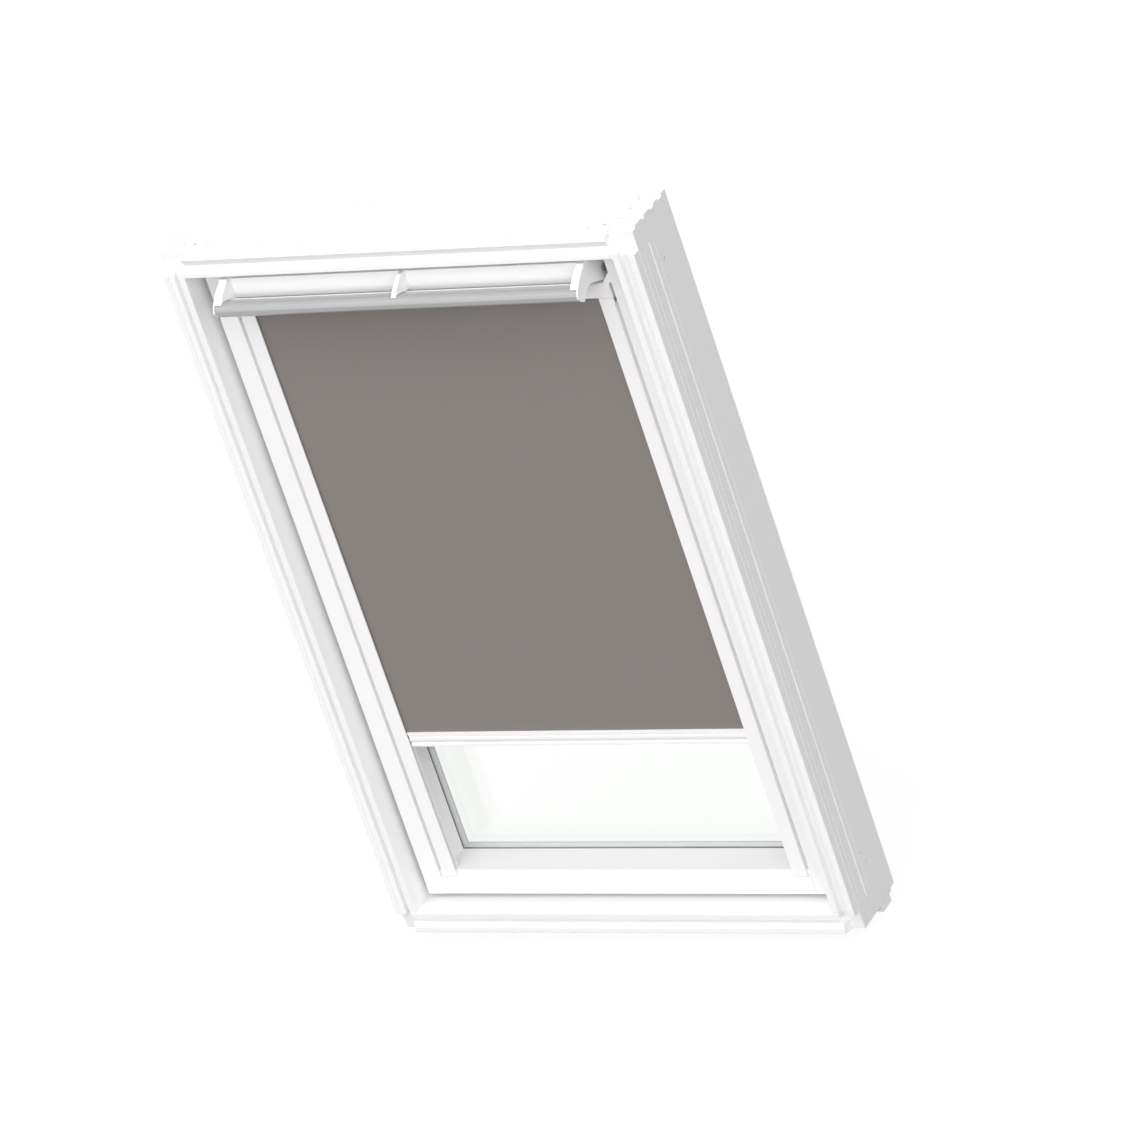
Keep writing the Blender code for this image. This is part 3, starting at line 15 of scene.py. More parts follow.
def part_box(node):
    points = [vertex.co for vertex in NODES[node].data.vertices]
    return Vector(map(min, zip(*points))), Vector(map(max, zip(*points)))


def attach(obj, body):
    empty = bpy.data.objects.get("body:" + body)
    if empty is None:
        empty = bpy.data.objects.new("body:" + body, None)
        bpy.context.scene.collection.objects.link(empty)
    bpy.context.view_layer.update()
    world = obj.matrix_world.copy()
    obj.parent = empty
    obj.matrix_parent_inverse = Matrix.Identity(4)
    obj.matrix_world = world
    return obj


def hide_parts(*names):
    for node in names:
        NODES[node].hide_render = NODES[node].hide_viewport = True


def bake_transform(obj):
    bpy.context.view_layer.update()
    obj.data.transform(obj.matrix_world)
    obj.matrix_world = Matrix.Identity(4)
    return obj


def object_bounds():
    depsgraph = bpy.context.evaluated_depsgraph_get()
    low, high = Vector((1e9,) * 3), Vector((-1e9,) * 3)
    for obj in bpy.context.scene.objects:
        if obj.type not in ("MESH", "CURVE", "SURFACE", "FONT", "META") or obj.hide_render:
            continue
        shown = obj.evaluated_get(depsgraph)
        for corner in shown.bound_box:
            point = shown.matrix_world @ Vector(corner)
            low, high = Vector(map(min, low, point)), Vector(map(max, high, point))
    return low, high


bl_info = {
    "name": "Roof window with roller blind",
    "version": (1, 0, 0),
    "blender": (4, 5, 0),
    "location": "View3D > Sidebar > Roof Window",
    "description": "Finishes, cloth and studio for a centre-pivot roof window with a roller blind",
    "category": "Object",
}

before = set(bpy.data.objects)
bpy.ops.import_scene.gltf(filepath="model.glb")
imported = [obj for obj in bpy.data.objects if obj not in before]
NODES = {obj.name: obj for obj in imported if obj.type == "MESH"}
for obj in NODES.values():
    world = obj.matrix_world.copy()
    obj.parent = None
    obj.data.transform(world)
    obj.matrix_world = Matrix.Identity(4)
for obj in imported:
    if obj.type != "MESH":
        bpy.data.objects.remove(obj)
CAD_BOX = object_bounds()
MM = 0.001

# Place and turn of the camera, and how its lens sees the window
CAMERA_PLACE = Vector((5.88988689, -8.304911926, 5.85674677))
CAMERA_RIGHT = Vector((0.860201982, 0.41882762, -0.290922625))
CAMERA_DOWN = Vector((-0.019784525, -0.542649607, -0.839726132))
CAMERA_AHEAD = Vector((-0.509569546, 0.728089849, -0.458501962))
CAMERA_LENS_MM = 253.2823
SENSOR_MM = 36.0
SIGHT_END = 200.0

# Where the lamps' light comes from, and how wide each lamp looks from the window
KEY_FROM = Vector((0.5, -1, 0.4))
KEY_SPREAD = math.radians(60)
TOP_FROM = Vector((-0.05, -0.5, 1))
TOP_SPREAD = math.radians(30)

# Parts of a direction over which the sky's light changes: off to a side, left to right, room to outside
ASIDE_CHANGE = (0.5, 1.0)
ACROSS_CHANGE = (-0.3, 0.3)
DEPTH_CHANGE = (-0.35, 0.35)

FLOOR_HALF = 40.0
FLOOR_DROP = 0.2 * MM

ROLLER_LOW, ROLLER_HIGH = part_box("roller_tube")
ROLLER_AXIS = (ROLLER_LOW + ROLLER_HIGH) / 2
TUBE_RADIUS = (ROLLER_HIGH.z - ROLLER_LOW.z) / 2
ROLL_LOW, ROLL_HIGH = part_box("rolled_cloth")
ROLL_RADIUS = (ROLL_HIGH.z - ROLL_LOW.z) / 2
CLOTH_LOW, CLOTH_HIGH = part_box("blind_cloth")
CLOTH_HALF_WIDTH = CLOTH_HIGH.x
TUBE_CLEARANCE = 0.3 * MM
# How far round the roll the hanging cloth reaches, and in how many steps
LAP_TURN = math.radians(80)
LAP_STEPS = 8

# Painted shade greys timber faces that look this far sideways and are this near the window's sides
SIDEWAYS = (0.6, 0.9)
SHADED_SIDE_DEPTH = 15 * MM
OUTER_FACES_FROM = CAD_BOX[1].x - SHADED_SIDE_DEPTH

# Packed points closer than this are one point, and an edge that turns less than this is part of a round
SAME_POINT = 0.002 * MM
ROUND_TURN = math.radians(14)
# How far a corner's shading follows its big faces rather than its small ones, where 50 is even
BIG_FACE_WEIGHT = 100
# An edge of the cloth that turns more than this stays sharp
CLOTH_CREASE = math.radians(40)
# How strongly a skin's grain and the weave of the cloth bend the light
GRAIN_STRENGTH = 0.3
WEAVE_STRENGTH = 0.5


def linear(code):
    """Linear colour of an sRGB hex code."""
    shares = [int(code[start:start + 2], 16) / 255 for start in (1, 3, 5)]
    return tuple(s / 12.92 if s <= 0.04045 else ((s + 0.055) / 1.055) ** 2.4 for s in shares)


def colour_setting(name, description, code):
    """Colour property whose default is an sRGB hex code."""
    return FloatVectorProperty(name=name, description=description, subtype="COLOR", size=3, min=0, max=1,
                               default=linear(code))


def length_setting(name, description, default):
    """Property for a small length in metres."""
    return FloatProperty(name=name, description=description, unit="LENGTH", subtype="DISTANCE",
                         min=0.00001, precision=5, default=default)


def level_setting(name, description, default):
    """Property for the strength of a light."""
    return FloatProperty(name=name, description=description, min=0, max=10, default=default)


def share_setting(name, description, default):
    """Property for a share from none to all."""
    return FloatProperty(name=name, description=description, subtype="FACTOR", min=0, max=1, default=default)


class RoofWindowFinishes(bpy.types.PropertyGroup):
    """Colours and surface sizes of the window."""

    lacquer: colour_setting("Lacquer", "White lacquer on the pine frame and sash", "#FAF9F9")
    # Painted shade: a greyer white drawn on the frame's outer side faces
    painted_side_shade: colour_setting("Primer", "Grey-white primer on the outer side faces", "#F6F5F5")
    moulded: colour_setting("Moulded plastic", "White ABS of flap, arms and caps", "#F9F8F8")
    powder: colour_setting("Powder coat", "White powder coat on channels, headbox and bar", "#FAF8F9")
    anodised: colour_setting("Anodised aluminium", "Natural anodised control bar and covers", "#BABABB")
    zinc: colour_setting("Zinc plating", "Bright zinc on plates and screws", "#B9BABC")
    acetal: colour_setting("Acetal", "Grey acetal of bushings and sliders", "#9C9EA0")
    # Painted shade: the brackets are drawn dark grey to stand in for the shade round them
    bracket_shade_grey: colour_setting("Nylon", "Dark grey nylon of the flap's brackets", "#7C7D7F")
    rubber: colour_setting("Rubber", "Black EPDM of gasket and seals", "#232325")
    spacer: colour_setting("Spacer", "Light grey spacer between the panes", "#E8E9E9")
    glass: colour_setting("Glass", "Faint green of clear float glass", "#FEFFFE")
    powder_grain: length_setting("Powder grain", "Width of one grain in the powder coat", 0.9 * MM)
    die_line: length_setting("Die line", "Spacing of the extrusion's fine lines", 0.7 * MM)
    etched: share_setting("Etched sheen", "How much of the anodised skin shines as metal", 0.4)


class BlindCloth(bpy.types.PropertyGroup):
    """Colour and sizes of the blind's cloth."""

    colour: colour_setting("Cloth", "Taupe blackout cloth", "#87817E")
    thickness: length_setting("Thickness", "Thickness of the coated cloth", 0.28 * MM)
    pitch: length_setting("Winding pitch", "Step from one layer on the tube to the next", 0.35 * MM)
    thread: length_setting("Thread spacing", "Spacing of the weave's threads as drawn", 0.8 * MM)
    turn_steps: IntProperty(name="Steps a turn", description="Points in one turn of the wound cloth",
                            min=12, max=96, default=40)


class StudioLight(bpy.types.PropertyGroup):
    """Levels of the studio's light."""

    front: level_setting("Front", "Even light from the room side, where the big panels stand", 0.84)
    sides: level_setting("Sides", "Extra light from panels at both sides of the room", 0.7)
    back_left: level_setting("Back left", "Even light from the outer side, at the left", 0.8)
    back_right: level_setting("Back right", "Even light from the outer side, at the right", 0.28)
    above: level_setting("Above", "Soft light from above, leaning to the room side", 0.62)
    key: level_setting("Key", "Big soft panel on the room side, a little high and to the right", 1.27)
    floor: colour_setting("Floor", "Floor's own grey, which sets how much light it throws up", "#808080")
    floor_white: level_setting("Floor white", "Strength of the white that the floor is lifted to", 1.56)
    floor_lift: share_setting("Floor lift", "How far the seen floor is lifted to white", 0.6)


def add(tree, kind, inputs=(), **settings):
    """Add a node with its settings; each input gets a value or the output that feeds it."""
    node = tree.nodes.new(kind)
    for name, value in settings.items():
        setattr(node, name, value)
    for name, value in dict(inputs).items():
        if isinstance(value, bpy.types.NodeSocket):
            tree.links.new(value, node.inputs[name])
        else:
            node.inputs[name].default_value = value
    return node


def new_material(name, **constants):
    """Material with an empty tree but for its shader, which gets the constants, and its output."""
    material = bpy.data.materials.new(name)
    material.use_nodes = True
    tree = material.node_tree
    shader = tree.nodes["Principled BSDF"]
    for socket, value in constants.items():
        shader.inputs[socket.replace("_", " ")].default_value = value
    return material, tree, shader


def grained_skin(tree, shader, colour, tone, clouds, dull, grain, depth, detail=2.0):
    """Skin of one colour with faint clouds of tone and a grain that shows in sheen and relief.

    tone is the share by which the clouds change the colour, dull the roughness from and to, and depth the
    grain's height. Clouds and grain have a spacing along x, y and z. All sizes are in metres. The colour's
    output is returned for skins that build on this one.
    """
    place = add(tree, "ShaderNodeTexCoord").outputs["Object"]
    noises = []
    for spacing in (clouds, grain):
        scaled = add(tree, "ShaderNodeVectorMath", {0: place, 1: [1 / step for step in spacing]},
                     operation="MULTIPLY")
        noises.append(add(tree, "ShaderNodeTexNoise", {"Vector": scaled.outputs["Vector"], "Scale": 1.0,
                                                       "Detail": detail}).outputs["Fac"])
    cloudy, grainy = noises
    low = [share * (1 - tone) for share in colour]
    high = [min(1.0, share * (1 + tone)) for share in colour]
    shade = add(tree, "ShaderNodeMix", {"Factor": cloudy, "A": (*low, 1), "B": (*high, 1)},
                data_type="RGBA").outputs["Result"]
    sheen = add(tree, "ShaderNodeMapRange", {"Value": grainy, "To Min": dull[0], "To Max": dull[1]})
    relief = add(tree, "ShaderNodeBump", {"Height": grainy, "Distance": depth, "Strength": GRAIN_STRENGTH})
    tree.links.new(shade, shader.inputs["Base Color"])
    tree.links.new(sheen.outputs["Result"], shader.inputs["Roughness"])
    tree.links.new(relief.outputs["Normal"], shader.inputs["Normal"])
    return shade


def lacquered_pine(finishes, grain):
    """White polyurethane lacquer sprayed on laminated pine, whose grain runs along the given axis.

    It gives the eye an even satin white whose sheen follows the fibres a little, with hardly any relief. The
    outer side faces are drawn a shade greyer, as painted shade.
    """
    names = {"X": "lacquered_pine_rails", "Z": "lacquered_pine_stiles"}
    along = 260 * MM
    across = 3.4 * MM
    fibres = (along, across, across) if grain == "X" else (across, across, along)
    material, tree, shader = new_material(names[grain], IOR=1.5, Coat_Weight=0.15, Coat_Roughness=0.2)
    shade = grained_skin(tree, shader, finishes.lacquer, tone=0.01, clouds=[140 * MM] * 3,
                         dull=(0.34, 0.42), grain=fibres, depth=0.006 * MM, detail=4.0)
    # Painted shade: faces turned sideways at the window's outer sides are mixed to a greyer white
    place = add(tree, "ShaderNodeTexCoord")
    facing, where = [add(tree, "ShaderNodeSeparateXYZ", {"Vector": place.outputs[source]})
                     for source in ("Normal", "Object")]
    sideways, outside = [add(tree, "ShaderNodeMath", {0: part.outputs["X"]},
                             operation="ABSOLUTE").outputs["Value"] for part in (facing, where)]
    turned = add(tree, "ShaderNodeMapRange", {"Value": sideways, "From Min": SIDEWAYS[0],
                                              "From Max": SIDEWAYS[1]})
    beyond = add(tree, "ShaderNodeMath", {0: outside, 1: OUTER_FACES_FROM}, operation="GREATER_THAN")
    shaded_side = add(tree, "ShaderNodeMath", {0: turned.outputs["Result"], 1: beyond.outputs["Value"]},
                 operation="MULTIPLY")
    side_shading = add(tree, "ShaderNodeMix", {"Factor": shaded_side.outputs["Value"], "A": shade,
                                        "B": (*finishes.painted_side_shade, 1)}, data_type="RGBA")
    tree.links.new(side_shading.outputs["Result"], shader.inputs["Base Color"])
    return material


def moulded_abs(finishes):
    """White ABS, injection moulded in a fine-eroded tool: a clean satin with a very fine even grain.

    The real grain is about 0.1 mm wide; it is drawn wider, because that is too fine to show.
    """
    material, tree, shader = new_material("moulded_abs", IOR=1.53)
    grained_skin(tree, shader, finishes.moulded, tone=0.01, clouds=[60 * MM] * 3, dull=(0.26, 0.36),
                 grain=[0.8 * MM] * 3, depth=0.015 * MM)
    return material


def powder_coated_aluminium(finishes):
    """White polyester powder baked on extruded aluminium: a hard, even skin with a pebbly sheen."""
    material, tree, shader = new_material("powder_coated_aluminium", IOR=1.5)
    grained_skin(tree, shader, finishes.powder, tone=0.01, clouds=[90 * MM] * 3, dull=(0.32, 0.44),
                 grain=[finishes.powder_grain] * 3, depth=0.02 * MM)
    return material


def anodised_aluminium(finishes):
    """Extruded aluminium, etched and anodised: a soft neutral grey metal with fine die lines along it.

    The etching scatters most of the light, so it is only part mirror and shades softly over its curves.
    """
    material, tree, shader = new_material("anodised_aluminium", Metallic=finishes.etched)
    grained_skin(tree, shader, finishes.anodised, tone=0.02, clouds=(120 * MM, 20 * MM, 20 * MM),
                 dull=(0.3, 0.4), grain=(450 * MM, finishes.die_line, finishes.die_line),
                 depth=0.01 * MM, detail=3.0)
    return material


def zinc_plated_steel(finishes):
    """Pressed steel with bright zinc plating: a bluish grey shine with cloudy spangles."""
    material, tree, shader = new_material("zinc_plated_steel", Metallic=1.0)
    grained_skin(tree, shader, finishes.zinc, tone=0.07, clouds=[5 * MM] * 3, dull=(0.22, 0.36),
                 grain=[5 * MM] * 3, depth=0.01 * MM)
    return material


def moulded_acetal(finishes):
    """Grey acetal, moulded: waxy and slightly dull, as sliding pieces are.

    Its grain is drawn coarser than the real one, which is too fine to show.
    """
    material, tree, shader = new_material("moulded_acetal")
    grained_skin(tree, shader, finishes.acetal, tone=0.03, clouds=[30 * MM] * 3, dull=(0.38, 0.5),
                 grain=[1.2 * MM] * 3, depth=0.02 * MM)
    return material


def nylon_with_painted_shade(finishes):
    """Nylon with short glass fibres, moulded: matt, with a faint swirl of fibres; its dark grey is painted
    shade.

    Single fibres are too fine to show, so the grain is that of small bundles.
    """
    material, tree, shader = new_material("nylon_with_painted_shade")
    grained_skin(tree, shader, finishes.bracket_shade_grey, tone=0.12, clouds=(7 * MM, 3 * MM, 7 * MM),
                 dull=(0.5, 0.66), grain=[0.9 * MM] * 3, depth=0.03 * MM, detail=3.0)
    return material


def extruded_rubber(finishes):
    """Black EPDM rubber, extruded: dull, with long draw marks and a dusting of talc."""
    material, tree, shader = new_material("extruded_epdm_rubber", Specular_IOR_Level=0.3)
    grained_skin(tree, shader, finishes.rubber, tone=0.25, clouds=[2.5 * MM] * 3, dull=(0.6, 0.78),
                 grain=(60 * MM, 0.6 * MM, 60 * MM), depth=0.03 * MM, detail=3.0)
    return material


def warm_edge_spacer(finishes):
    """Plastic-coated steel, roll formed: a light, dull grey with small breathing holes in rows."""
    # Holes' spacing, their edge as shares of it, and how much of the colour is left in them
    hole_step = 5 * MM
    hole_edge = (0.08, 0.14)
    hole_shade = 0.45
    material, tree, shader = new_material("warm_edge_spacer")
    shade = grained_skin(tree, shader, finishes.spacer, tone=0.02, clouds=[40 * MM] * 3, dull=(0.46, 0.6),
                         grain=[1.5 * MM] * 3, depth=0.02 * MM)
    place = add(tree, "ShaderNodeTexCoord")
    scaled = add(tree, "ShaderNodeVectorMath", {0: place.outputs["Object"], 1: [1 / hole_step] * 3},
                 operation="MULTIPLY")
    cells = add(tree, "ShaderNodeTexVoronoi", {"Vector": scaled.outputs["Vector"], "Scale": 1.0,
                                               "Randomness": 0.0})
    plain = add(tree, "ShaderNodeMapRange", {"Value": cells.outputs["Distance"],
                                             "From Min": hole_edge[0], "From Max": hole_edge[1]})
    in_hole = [share * hole_shade for share in finishes.spacer]
    holed = add(tree, "ShaderNodeMix", {"Factor": plain.outputs["Result"], "A": (*in_hole, 1), "B": shade},
                data_type="RGBA")
    tree.links.new(holed.outputs["Result"], shader.inputs["Base Color"])
    return material


def float_glass(finishes):
    """Clear float glass: flat, polished by the float itself, with a faint green in its thickness.

    Lamps shine through it, so the reveals behind it are lit as through a real pane.
    """
    material, tree, shader = new_material("float_glass", Base_Color=(*finishes.glass, 1), Roughness=0.0,
                                          IOR=1.52, Transmission_Weight=1.0)
    rays = add(tree, "ShaderNodeLightPath")
    clear = add(tree, "ShaderNodeBsdfTransparent", {"Color": (*finishes.glass, 1)})
    mixed = add(tree, "ShaderNodeMixShader", {0: rays.outputs["Is Shadow Ray"], 1: shader.outputs["BSDF"],
                                              2: clear.outputs["BSDF"]})
    tree.links.new(mixed.outputs["Shader"], tree.nodes["Material Output"].inputs["Surface"])
    return material


def woven_blackout_cloth(cloth):
    """Plain-woven polyester with a blackout coating on its outer side.

    It gives the eye a matt, even taupe with a fine grid of threads and a soft sheen. The real threads are
    about 0.3 mm apart; they are drawn wider, because that spacing is too fine to show.
    """
    uneven_length = 120 * MM
    uneven_depth = 50 * MM
    weave_depth = 0.12 * MM
    tone_change = 0.05
    rough_from, rough_to = 0.78, 0.9
    # A thread's wave runs from none to one, so its middle lies between them
    wave_middle = 0.5
    material, tree, shader = new_material("woven_blackout_cloth", Sheen_Weight=0.08, Sheen_Roughness=0.5,
                                          Specular_IOR_Level=0.25)
    place = add(tree, "ShaderNodeTexCoord").outputs["Object"]
    # A wave texture repeats after tau / 20 over its scale, and two threads make one wave
    wave_scale = math.tau / 20 / (2 * cloth.thread)
    raised = []
    for axis in ("X", "Z"):
        thread = add(tree, "ShaderNodeTexWave", {"Vector": place, "Scale": wave_scale}, bands_direction=axis)
        raised.append(add(tree, "ShaderNodeMath", {0: thread.outputs["Fac"], 1: wave_middle},
                          operation="SUBTRACT").outputs["Value"])
    crossed = add(tree, "ShaderNodeMath", {0: raised[0], 1: raised[1]}, operation="MULTIPLY")
    reach = wave_middle ** 2
    weave = add(tree, "ShaderNodeMapRange", {"Value": crossed.outputs["Value"], "From Min": -reach,
                                             "From Max": reach}).outputs["Result"]
    slubs = []
    for spacing in ((cloth.thread, uneven_depth, uneven_length), (uneven_length, uneven_depth, cloth.thread)):
        scaled = add(tree, "ShaderNodeVectorMath", {0: place, 1: [1 / step for step in spacing]},
                     operation="MULTIPLY")
        slubs.append(add(tree, "ShaderNodeTexNoise", {"Vector": scaled.outputs["Vector"],
                                                      "Scale": 1.0}).outputs["Fac"])
    uneven = add(tree, "ShaderNodeMix", {"Factor": 0.5, "A": slubs[0], "B": slubs[1]}).outputs["Result"]
    tone = add(tree, "ShaderNodeMix", {"Factor": 0.5, "A": uneven, "B": weave}).outputs["Result"]
    low, high = ([share * (1 + change) for share in cloth.colour] for change in (-tone_change, tone_change))
    shade = add(tree, "ShaderNodeMix", {"Factor": tone, "A": (*low, 1), "B": (*high, 1)}, data_type="RGBA")
    dull = add(tree, "ShaderNodeMapRange", {"Value": tone, "To Min": rough_from, "To Max": rough_to})
    relief = add(tree, "ShaderNodeBump", {"Height": weave, "Distance": weave_depth,
                                         "Strength": WEAVE_STRENGTH})
    tree.links.new(shade.outputs["Result"], shader.inputs["Base Color"])
    tree.links.new(dull.outputs["Result"], shader.inputs["Roughness"])
    tree.links.new(relief.outputs["Normal"], shader.inputs["Normal"])
    return material


def smooth_rounds():
    """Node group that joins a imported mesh's doubled points and shades its rounds as rounds."""
    name = "smooth_rounds"
    if name in bpy.data.node_groups:
        return bpy.data.node_groups[name]
    group = bpy.data.node_groups.new(name, "GeometryNodeTree")
    for way in ("INPUT", "OUTPUT"):
        group.interface.new_socket("Geometry", in_out=way, socket_type="NodeSocketGeometry")
    came = add(group, "NodeGroupInput")
    left = add(group, "NodeGroupOutput")
    joined = add(group, "GeometryNodeMergeByDistance", {"Geometry": came.outputs[0], "Distance": SAME_POINT})
    turn = add(group, "GeometryNodeInputMeshEdgeAngle")
    soft = add(group, "FunctionNodeCompare", {"A": turn.outputs["Unsigned Angle"], "B": ROUND_TURN},
               data_type="FLOAT", operation="LESS_EQUAL")
    faces = add(group, "GeometryNodeSetShadeSmooth", {"Geometry": joined.outputs["Geometry"]}, domain="FACE")
    edges = add(group, "GeometryNodeSetShadeSmooth", {"Geometry": faces.outputs["Geometry"],
                                                      "Shade Smooth": soft.outputs["Result"]}, domain="EDGE")
    group.links.new(edges.outputs["Geometry"], left.inputs[0])
    return group


def dress(names, material):
    """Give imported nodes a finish, and shade their rounds smoothly while their flats stay flat."""
    for name in names:
        node = NODES[name]
        if not node.material_slots:
            node.data.materials.append(material)
        for slot in node.material_slots:
            slot.material = material
        rounds = node.modifiers.new("smooth_rounds", "NODES")
        rounds.node_group = smooth_rounds()
        flats = node.modifiers.new("flat_faces_stay_flat", "WEIGHTED_NORMAL")
        flats.keep_sharp = True
        flats.weight = BIG_FACE_WEIGHT


def named(start):
    """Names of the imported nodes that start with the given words."""
    return sorted(name for name in NODES if name.startswith(start))


def new_piece(name, points, faces, body, material):
    """Mesh piece in the model's frame that rides on a body, or on none."""
    mesh = bpy.data.meshes.new(name)
    mesh.from_pydata(points, [], faces)
    mesh.validate()
    mesh.shade_smooth()
    mesh.set_sharp_from_angle(angle=CLOTH_CREASE)
    mesh.materials.append(material)
    piece = bpy.data.objects.new(name, mesh)
    bpy.context.scene.collection.objects.link(piece)
    if body:
        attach(piece, body)
    return piece


def ribbon(line, thickness, half_width):
    """Points and faces of a closed strip of cloth that follows a line of (depth, height)."""
    outer = []
    for index, (y, z) in enumerate(line):
        before = Vector(line[max(index - 1, 0)])
        after = Vector(line[min(index + 1, len(line) - 1)])
        ahead = (after - before).normalized()
        outer.append((y - ahead.y * thickness, z + ahead.x * thickness))
    # Four rows of points run along the strip: inner and outer at the left, then at the right
    points = [(x, y, z) for x in (-half_width, half_width) for y, z in list(line) + outer]
    count = len(line)
    faces = []
    # Left and right edge, then the inner and the outer face, then both ends
    for start, reach, turned in ((0, count, False), (2 * count, count, True),
                                 (0, 2 * count, True), (count, 2 * count, False)):
        for step in range(start, start + count - 1):
            face = [step, step + 1, step + reach + 1, step + reach]
            faces.append(face[::-1] if turned else face)
    for step in (0, count - 1):
        face = [step, count + step, 3 * count + step, 2 * count + step]
        faces.append(face if step else face[::-1])
    return points, faces


def round_roller(radius, turn):
    """Place (depth, height) on the roller at a radius, a turn on from its room side over its top."""
    return ROLLER_AXIS.y - radius * math.cos(turn), ROLLER_AXIS.z + radius * math.sin(turn)


def hang_cloth(cloth, material):
    """Cloth from its lap on the roll down to the blind's bar."""
    lap_radius = ROLLER_AXIS.y - CLOTH_HIGH.y
    lap = [round_roller(lap_radius, LAP_TURN * step / LAP_STEPS) for step in range(1, LAP_STEPS + 1)]
    line = [(CLOTH_HIGH.y, CLOTH_LOW.z), (CLOTH_HIGH.y, ROLLER_AXIS.z)] + lap
    points, faces = ribbon(line, cloth.thickness, CLOTH_HALF_WIDTH)
    hanging = new_piece("hanging_cloth", points, faces, None, material)
    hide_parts("blind_cloth")
    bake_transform(hanging)


def wind_cloth(cloth, material):
    """Cloth that is wound on the tube, as one spiral out to the roll's radius."""
    inner = TUBE_RADIUS + TUBE_CLEARANCE
    turns = (ROLL_RADIUS - cloth.thickness - inner) / cloth.pitch
    steps = math.ceil(turns * cloth.turn_steps)
    spiral = []
    for step in range(steps + 1):
        turn = turns * step / steps
        spiral.append(round_roller(inner + cloth.pitch * turn, -turn * math.tau))
    points, faces = ribbon(spiral, cloth.thickness, CLOTH_HALF_WIDTH)
    wound = new_piece("wound_cloth", points, faces, "roller", material)
    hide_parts("rolled_cloth")


def looked_at(tree):
    """One where the camera, a reflection or glass looks, and zero for light that falls on the object."""
    rays = add(tree, "ShaderNodeLightPath")
    seen = rays.outputs["Is Camera Ray"]
    for other in ("Is Glossy Ray", "Is Transmission Ray"):
        seen = add(tree, "ShaderNodeMath", {0: seen, 1: rays.outputs[other]},
                   operation="MAXIMUM").outputs["Value"]
    return seen


def lay_floor(scene, light):
    """Matt floor that is lifted to white where it is seen, and keeps the window's shadow."""
    material, tree, shader = new_material("matt_studio_floor", Base_Color=(*light.floor, 1),
                                          Roughness=0.9, Specular_IOR_Level=0.0)
    white = add(tree, "ShaderNodeEmission", {"Color": (1, 1, 1, 1), "Strength": light.floor_white})
    lift = add(tree, "ShaderNodeMath", {0: looked_at(tree), 1: light.floor_lift}, operation="MULTIPLY")
    lifted = add(tree, "ShaderNodeMixShader", {0: lift.outputs["Value"], 1: shader.outputs["BSDF"],
                                               2: white.outputs["Emission"]})
    tree.links.new(lifted.outputs["Shader"], tree.nodes["Material Output"].inputs["Surface"])
    mesh = bpy.data.meshes.new("studio_floor")
    corners = ((-1, -1), (1, -1), (1, 1), (-1, 1))
    mesh.from_pydata([(x * FLOOR_HALF, y * FLOOR_HALF, 0) for x, y in corners], [], [(0, 1, 2, 3)])
    mesh.materials.append(material)
    floor = bpy.data.objects.new("studio_floor", mesh)
    scene.collection.objects.link(floor)
    floor.location.z = -FLOOR_DROP


def light_sky(scene, light):
    """Soft light from all round, brighter from the room side, and plain white where it is seen."""
    world = bpy.data.worlds.new("studio_sky")
    scene.world = world
    world.use_nodes = True
    tree = world.node_tree
    background = tree.nodes["Background"]
    background.inputs["Color"].default_value = (1, 1, 1, 1)
    place = add(tree, "ShaderNodeTexCoord")
    toward = add(tree, "ShaderNodeSeparateXYZ", {"Vector": place.outputs["Generated"]})
    aside = add(tree, "ShaderNodeMath", {0: toward.outputs["X"]}, operation="ABSOLUTE")
    front = add(tree, "ShaderNodeMapRange",
                {"Value": aside.outputs["Value"], "From Min": ASIDE_CHANGE[0], "From Max": ASIDE_CHANGE[1],
                 "To Min": light.front, "To Max": light.front + light.sides},
                interpolation_type="SMOOTHSTEP")
    back = add(tree, "ShaderNodeMapRange",
               {"Value": toward.outputs["X"], "From Min": ACROSS_CHANGE[0], "From Max": ACROSS_CHANGE[1],
                "To Min": light.back_left, "To Max": light.back_right},
               interpolation_type="SMOOTHSTEP")
    lit = add(tree, "ShaderNodeMapRange",
              {"Value": toward.outputs["Y"], "From Min": DEPTH_CHANGE[0], "From Max": DEPTH_CHANGE[1],
               "To Min": front.outputs["Result"], "To Max": back.outputs["Result"]},
              interpolation_type="SMOOTHSTEP")
    strength = add(tree, "ShaderNodeMapRange", {"Value": looked_at(tree), "To Min": lit.outputs["Result"],
                                                "To Max": 1.0})
    tree.links.new(strength.outputs["Result"], background.inputs["Strength"])


def hang_lamps(scene, light):
    """Two big soft lamps: the key from the room side, and one from above."""
    for name, level, spread, source in (("key_light", light.key, KEY_SPREAD, KEY_FROM),
                                        ("top_light", light.above, TOP_SPREAD, TOP_FROM)):
        lamp = bpy.data.lights.new(name, "SUN")
        lamp.energy = level
        lamp.angle = spread
        sun = bpy.data.objects.new(name, lamp)
        scene.collection.objects.link(sun)
        sun.rotation_euler = source.to_track_quat("Z", "Y").to_euler()


def place_camera(scene):
    """Camera at the photograph's angle and distance."""
    camera = bpy.data.cameras.new("camera")
    camera.sensor_width = SENSOR_MM
    camera.lens = CAMERA_LENS_MM
    camera.clip_end = SIGHT_END
    view = bpy.data.objects.new("camera", camera)
    scene.collection.objects.link(view)
    turn = Matrix((CAMERA_RIGHT, -CAMERA_DOWN, -CAMERA_AHEAD)).transposed()
    view.matrix_world = Matrix.Translation(CAMERA_PLACE) @ turn.to_4x4()
    scene.camera = view


class ROOFWINDOW_OT_stage(bpy.types.Operator):
    """Make the floor, the light and the camera."""

    bl_idname = "roof_window.stage"
    bl_label = "Studio"

    def execute(self, context):
        scene = context.scene
        scene.view_settings.view_transform = "Standard"
        lay_floor(scene, scene.studio_light)
        light_sky(scene, scene.studio_light)
        hang_lamps(scene, scene.studio_light)
        place_camera(scene)
        return {"FINISHED"}


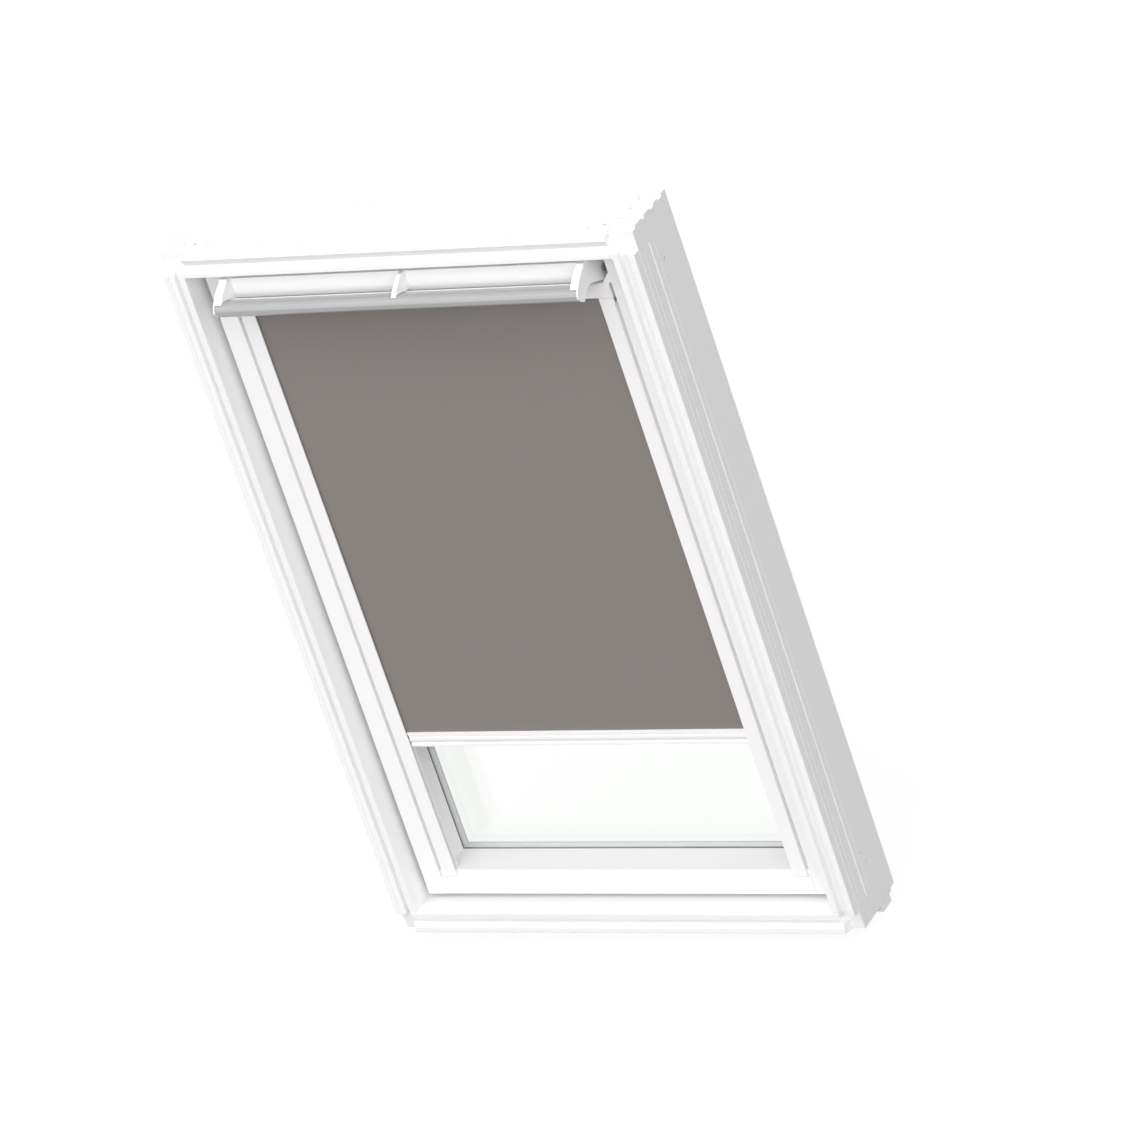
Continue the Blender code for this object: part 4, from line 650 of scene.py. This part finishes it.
class ROOFWINDOW_OT_timber(bpy.types.Operator):
    """Finish the lacquered timber of frame and sash."""

    bl_idname = "roof_window.timber"
    bl_label = "Lacquered Timber"

    def execute(self, context):
        finishes = context.scene.roof_window_finishes
        rails = ["frame_head", "frame_sill", "sash_top_rail", "sash_bottom_rail"]
        dress(rails, lacquered_pine(finishes, "X"))
        dress(named("frame_stile_") + named("sash_stile_"), lacquered_pine(finishes, "Z"))
        return {"FINISHED"}


class ROOFWINDOW_OT_glazing(bpy.types.Operator):
    """Finish the panes, their gasket and spacer, and the seals round the sash."""

    bl_idname = "roof_window.glazing"
    bl_label = "Glazing and Seals"

    def execute(self, context):
        finishes = context.scene.roof_window_finishes
        dress(["inner_pane", "outer_pane"], float_glass(finishes))
        dress(["pane_spacer"], warm_edge_spacer(finishes))
        dress(["glazing_gasket"] + named("sash_seal_"), extruded_rubber(finishes))
        return {"FINISHED"}


class ROOFWINDOW_OT_metalwork(bpy.types.Operator):
    """Finish the outer covers, the control bar, the roller's tube and the pivots' steel."""

    bl_idname = "roof_window.metalwork"
    bl_label = "Metalwork"

    def execute(self, context):
        finishes = context.scene.roof_window_finishes
        dress(named("sash_cover_") + ["control_bar", "roller_tube"], anodised_aluminium(finishes))
        dress(named("pivot_plate_") + named("pivot_screw_"), zinc_plated_steel(finishes))
        return {"FINISHED"}


class ROOFWINDOW_OT_plastics(bpy.types.Operator):
    """Finish the moulded pieces: flap, arms, brackets, clips, caps and drip strip."""

    bl_idname = "roof_window.plastics"
    bl_label = "Moulded Pieces"

    def execute(self, context):
        finishes = context.scene.roof_window_finishes
        dress(["vent_flap", "control_bar_lip", "drip_strip"] + named("bar_arm_") + named("headbox_cap_")
              + named("headbox_clip_"), moulded_abs(finishes))
        dress(named("flap_bracket_"), nylon_with_painted_shade(finishes))
        dress(named("pivot_bushing_") + named("bar_slider_"), moulded_acetal(finishes))
        return {"FINISHED"}


class ROOFWINDOW_OT_blind_metal(bpy.types.Operator):
    """Finish the blind's channels, headbox and bottom bar."""

    bl_idname = "roof_window.blind_metal"
    bl_label = "Blind Profiles"

    def execute(self, context):
        finishes = context.scene.roof_window_finishes
        dress(named("side_channel_") + ["blind_headbox", "bottom_bar"], powder_coated_aluminium(finishes))
        return {"FINISHED"}


class ROOFWINDOW_OT_cloth(bpy.types.Operator):
    """Make the blind's cloth, hanging and wound."""

    bl_idname = "roof_window.cloth"
    bl_label = "Blind Cloth"

    def execute(self, context):
        cloth = context.scene.blind_cloth_settings
        material = woven_blackout_cloth(cloth)
        hang_cloth(cloth, material)
        wind_cloth(cloth, material)
        return {"FINISHED"}


class ROOFWINDOW_PT_sidebar(bpy.types.Panel):
    """Roof window's pieces and settings."""

    bl_label = "Roof Window"
    bl_idname = "ROOFWINDOW_PT_sidebar"
    bl_space_type = "VIEW_3D"
    bl_region_type = "UI"
    bl_category = "Roof Window"

    def draw(self, context):
        for operator in OPERATORS:
            self.layout.operator(operator.bl_idname)
        for attribute, group in GROUPS.items():
            box = self.layout.box()
            for name in group.__annotations__:
                box.prop(getattr(context.scene, attribute), name)


OPERATORS = (
    ROOFWINDOW_OT_stage,
    ROOFWINDOW_OT_timber,
    ROOFWINDOW_OT_glazing,
    ROOFWINDOW_OT_metalwork,
    ROOFWINDOW_OT_plastics,
    ROOFWINDOW_OT_blind_metal,
    ROOFWINDOW_OT_cloth,
)
GROUPS = {
    "roof_window_finishes": RoofWindowFinishes,
    "blind_cloth_settings": BlindCloth,
    "studio_light": StudioLight,
}


def register():
    for group in GROUPS.values():
        bpy.utils.register_class(group)
    for operator in OPERATORS:
        bpy.utils.register_class(operator)
    bpy.utils.register_class(ROOFWINDOW_PT_sidebar)
    for attribute, group in GROUPS.items():
        setattr(bpy.types.Scene, attribute, PointerProperty(type=group))


def unregister():
    for attribute in GROUPS:
        delattr(bpy.types.Scene, attribute)
    bpy.utils.unregister_class(ROOFWINDOW_PT_sidebar)
    for operator in reversed(OPERATORS):
        bpy.utils.unregister_class(operator)
    for group in reversed(list(GROUPS.values())):
        bpy.utils.unregister_class(group)


def main():
    """Build the whole look."""
    register()
    bpy.ops.roof_window.stage()
    bpy.ops.roof_window.timber()
    bpy.ops.roof_window.glazing()
    bpy.ops.roof_window.metalwork()
    bpy.ops.roof_window.plastics()
    bpy.ops.roof_window.blind_metal()
    bpy.ops.roof_window.cloth()


if __name__ == "__main__":
    main()
